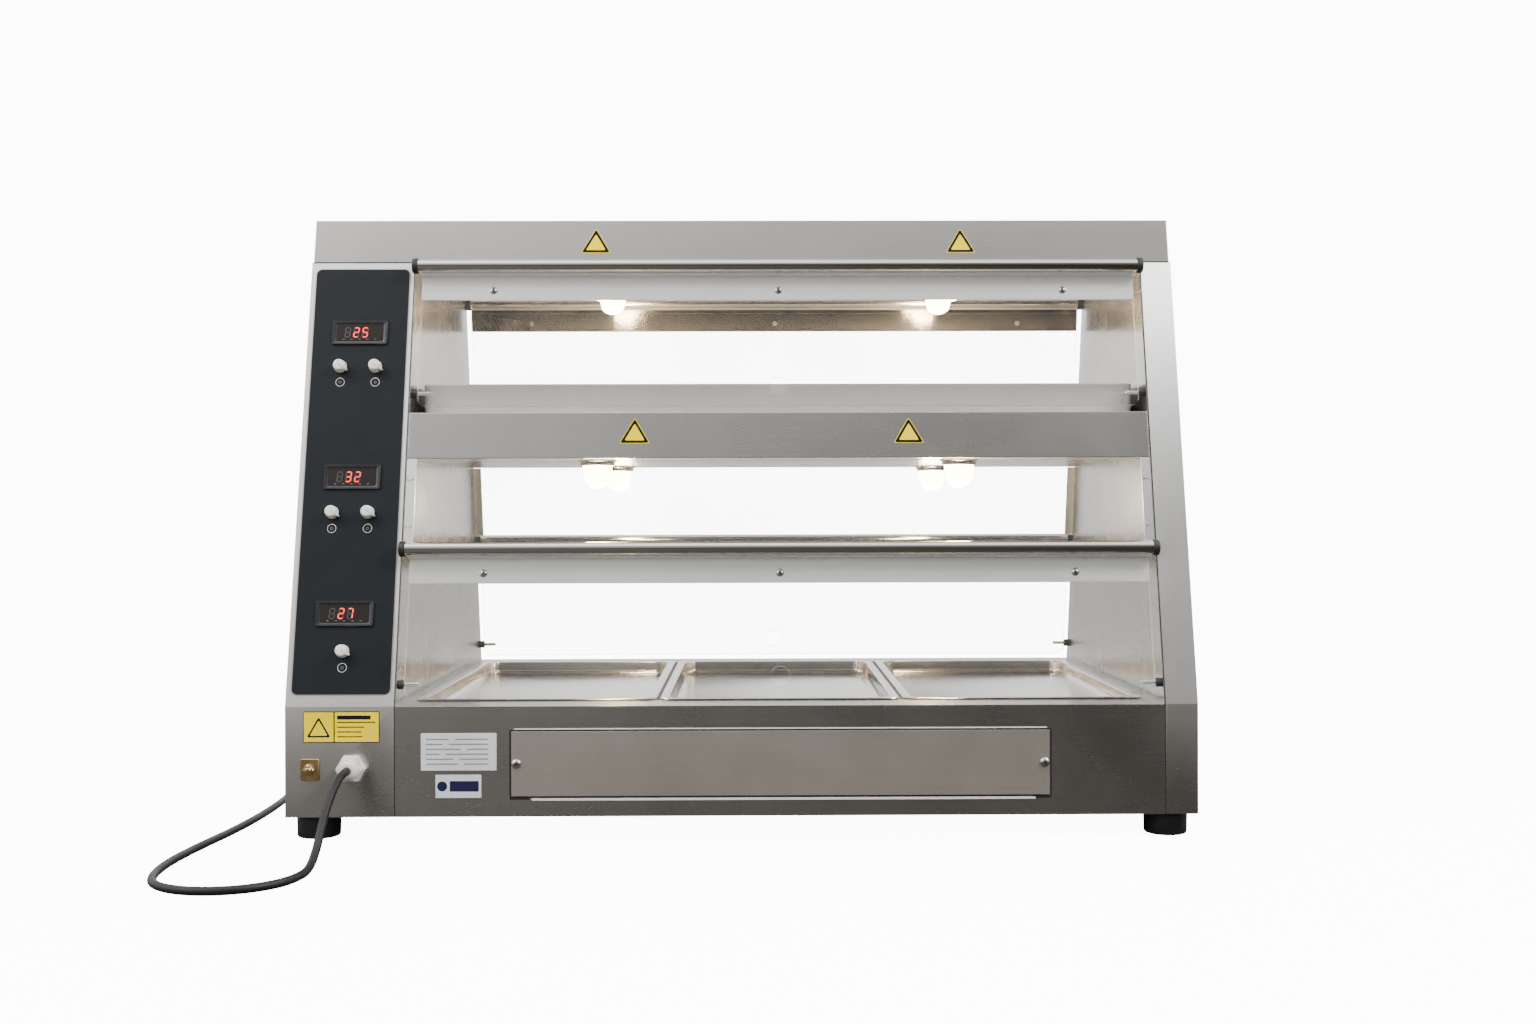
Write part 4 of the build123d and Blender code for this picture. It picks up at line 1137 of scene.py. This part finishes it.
def make_world():
    """White for the camera, and a soft studio gradient for everything else."""
    world = bpy.data.worlds.new("studio")
    bpy.context.scene.world = world
    world.use_nodes = True
    tree = world.node_tree
    tree.nodes.clear()
    out = tree.nodes.new("ShaderNodeOutputWorld")
    mix = tree.nodes.new("ShaderNodeMixShader")
    seen = tree.nodes.new("ShaderNodeBackground")
    seen.inputs["Color"].default_value = (1, 1, 1, 1)
    seen.inputs["Strength"].default_value = 12.0
    around = tree.nodes.new("ShaderNodeBackground")
    around.inputs["Strength"].default_value = 1.0
    path = tree.nodes.new("ShaderNodeLightPath")
    coords = tree.nodes.new("ShaderNodeTexCoord")
    split = tree.nodes.new("ShaderNodeSeparateXYZ")
    ramp = tree.nodes.new("ShaderNodeValToRGB")
    ramp.color_ramp.elements[0].position = 0.0
    ramp.color_ramp.elements[0].color = (0.11, 0.105, 0.098, 1)
    ramp.color_ramp.elements[1].position = 0.75
    ramp.color_ramp.elements[1].color = (1.0, 1.0, 1.0, 1)
    low = ramp.color_ramp.elements.new(0.1)
    low.color = (0.44, 0.435, 0.425, 1)
    middle = ramp.color_ramp.elements.new(0.26)
    middle.color = (0.54, 0.535, 0.525, 1)
    bright = ramp.color_ramp.elements.new(0.98)
    bright.color = (1.6, 1.6, 1.6, 1)
    tree.links.new(coords.outputs["Generated"], split.inputs[0])
    lift = math_node(tree, "MULTIPLY_ADD", split.outputs["Y"], 0.5, 0.35)
    high = math_node(tree, "MULTIPLY_ADD", split.outputs["Z"], 0.55, lift)
    # brighter upwards on the left and at both far sides, so that the leaning faces shade across
    across = math_node(tree, "MULTIPLY_ADD", split.outputs["X"], 5.0, -2.3)
    curved = math_node(tree, "MULTIPLY", across, split.outputs["X"])
    upward = math_node(tree, "MAXIMUM", split.outputs["Z"], 0.0)
    shaded = math_node(tree, "MULTIPLY_ADD", curved, upward, high)
    tree.links.new(shaded, ramp.inputs["Fac"])
    tree.links.new(ramp.outputs["Color"], around.inputs["Color"])
    tree.links.new(path.outputs["Is Camera Ray"], mix.inputs[0])
    tree.links.new(around.outputs[0], mix.inputs[1])
    tree.links.new(seen.outputs[0], mix.inputs[2])
    tree.links.new(mix.outputs[0], out.inputs[0])


def area_light(name, place, aim, size, power, mirrored=True):
    data = bpy.data.lights.new(name, "AREA")
    data.shape = "RECTANGLE"
    data.size = size[0]
    data.size_y = size[1]
    data.energy = power
    light = bpy.data.objects.new(name, data)
    light.visible_glossy = mirrored
    bpy.context.scene.collection.objects.link(light)
    way = Vector(aim) - Vector(place)
    light.matrix_world = Matrix.Translation(place) @ way.to_track_quat("-Z", "Y").to_matrix().to_4x4()


make_stage()
make_world()
area_light("key_above", (0.0, -0.9, 2.6), (0, 0, 0.4), (3.0, 2.0), 26)
area_light("fill_left", (-2.4, -1.4, 1.4), (0, 0, 0.4), (1.6, 1.6), 8)
area_light("side_right", (2.8, -1.7, 2.8), (0.5, 0, 0.6), (1.0, 0.8), 110)
area_light("side_left", (-2.8, -1.7, 2.8), (-0.5, 0, 0.6), (1.0, 0.8), 45)
area_light("front_fill", (0.0, -3.2, 1.3), (0, 0, 0.4), (3.0, 2.0), 55, mirrored=False)
area_light("back_glow", (0.0, 2.4, 1.2), (0, 0, 0.4), (3.5, 2.0), 16)


def lamp_light(spot, power):
    data = bpy.data.lights.new("lamp_glow", "POINT")
    data.energy = power
    data.color = (1.0, 0.78, 0.5)
    data.shadow_soft_size = 0.018
    light = bpy.data.objects.new("lamp_glow", data)
    light.location = (spot[0], spot[1], spot[2] - GLOW_DROP)
    bpy.context.scene.collection.objects.link(light)


for lamp_spot in lamp_spots():
    lamp_light(lamp_spot, 1.8)
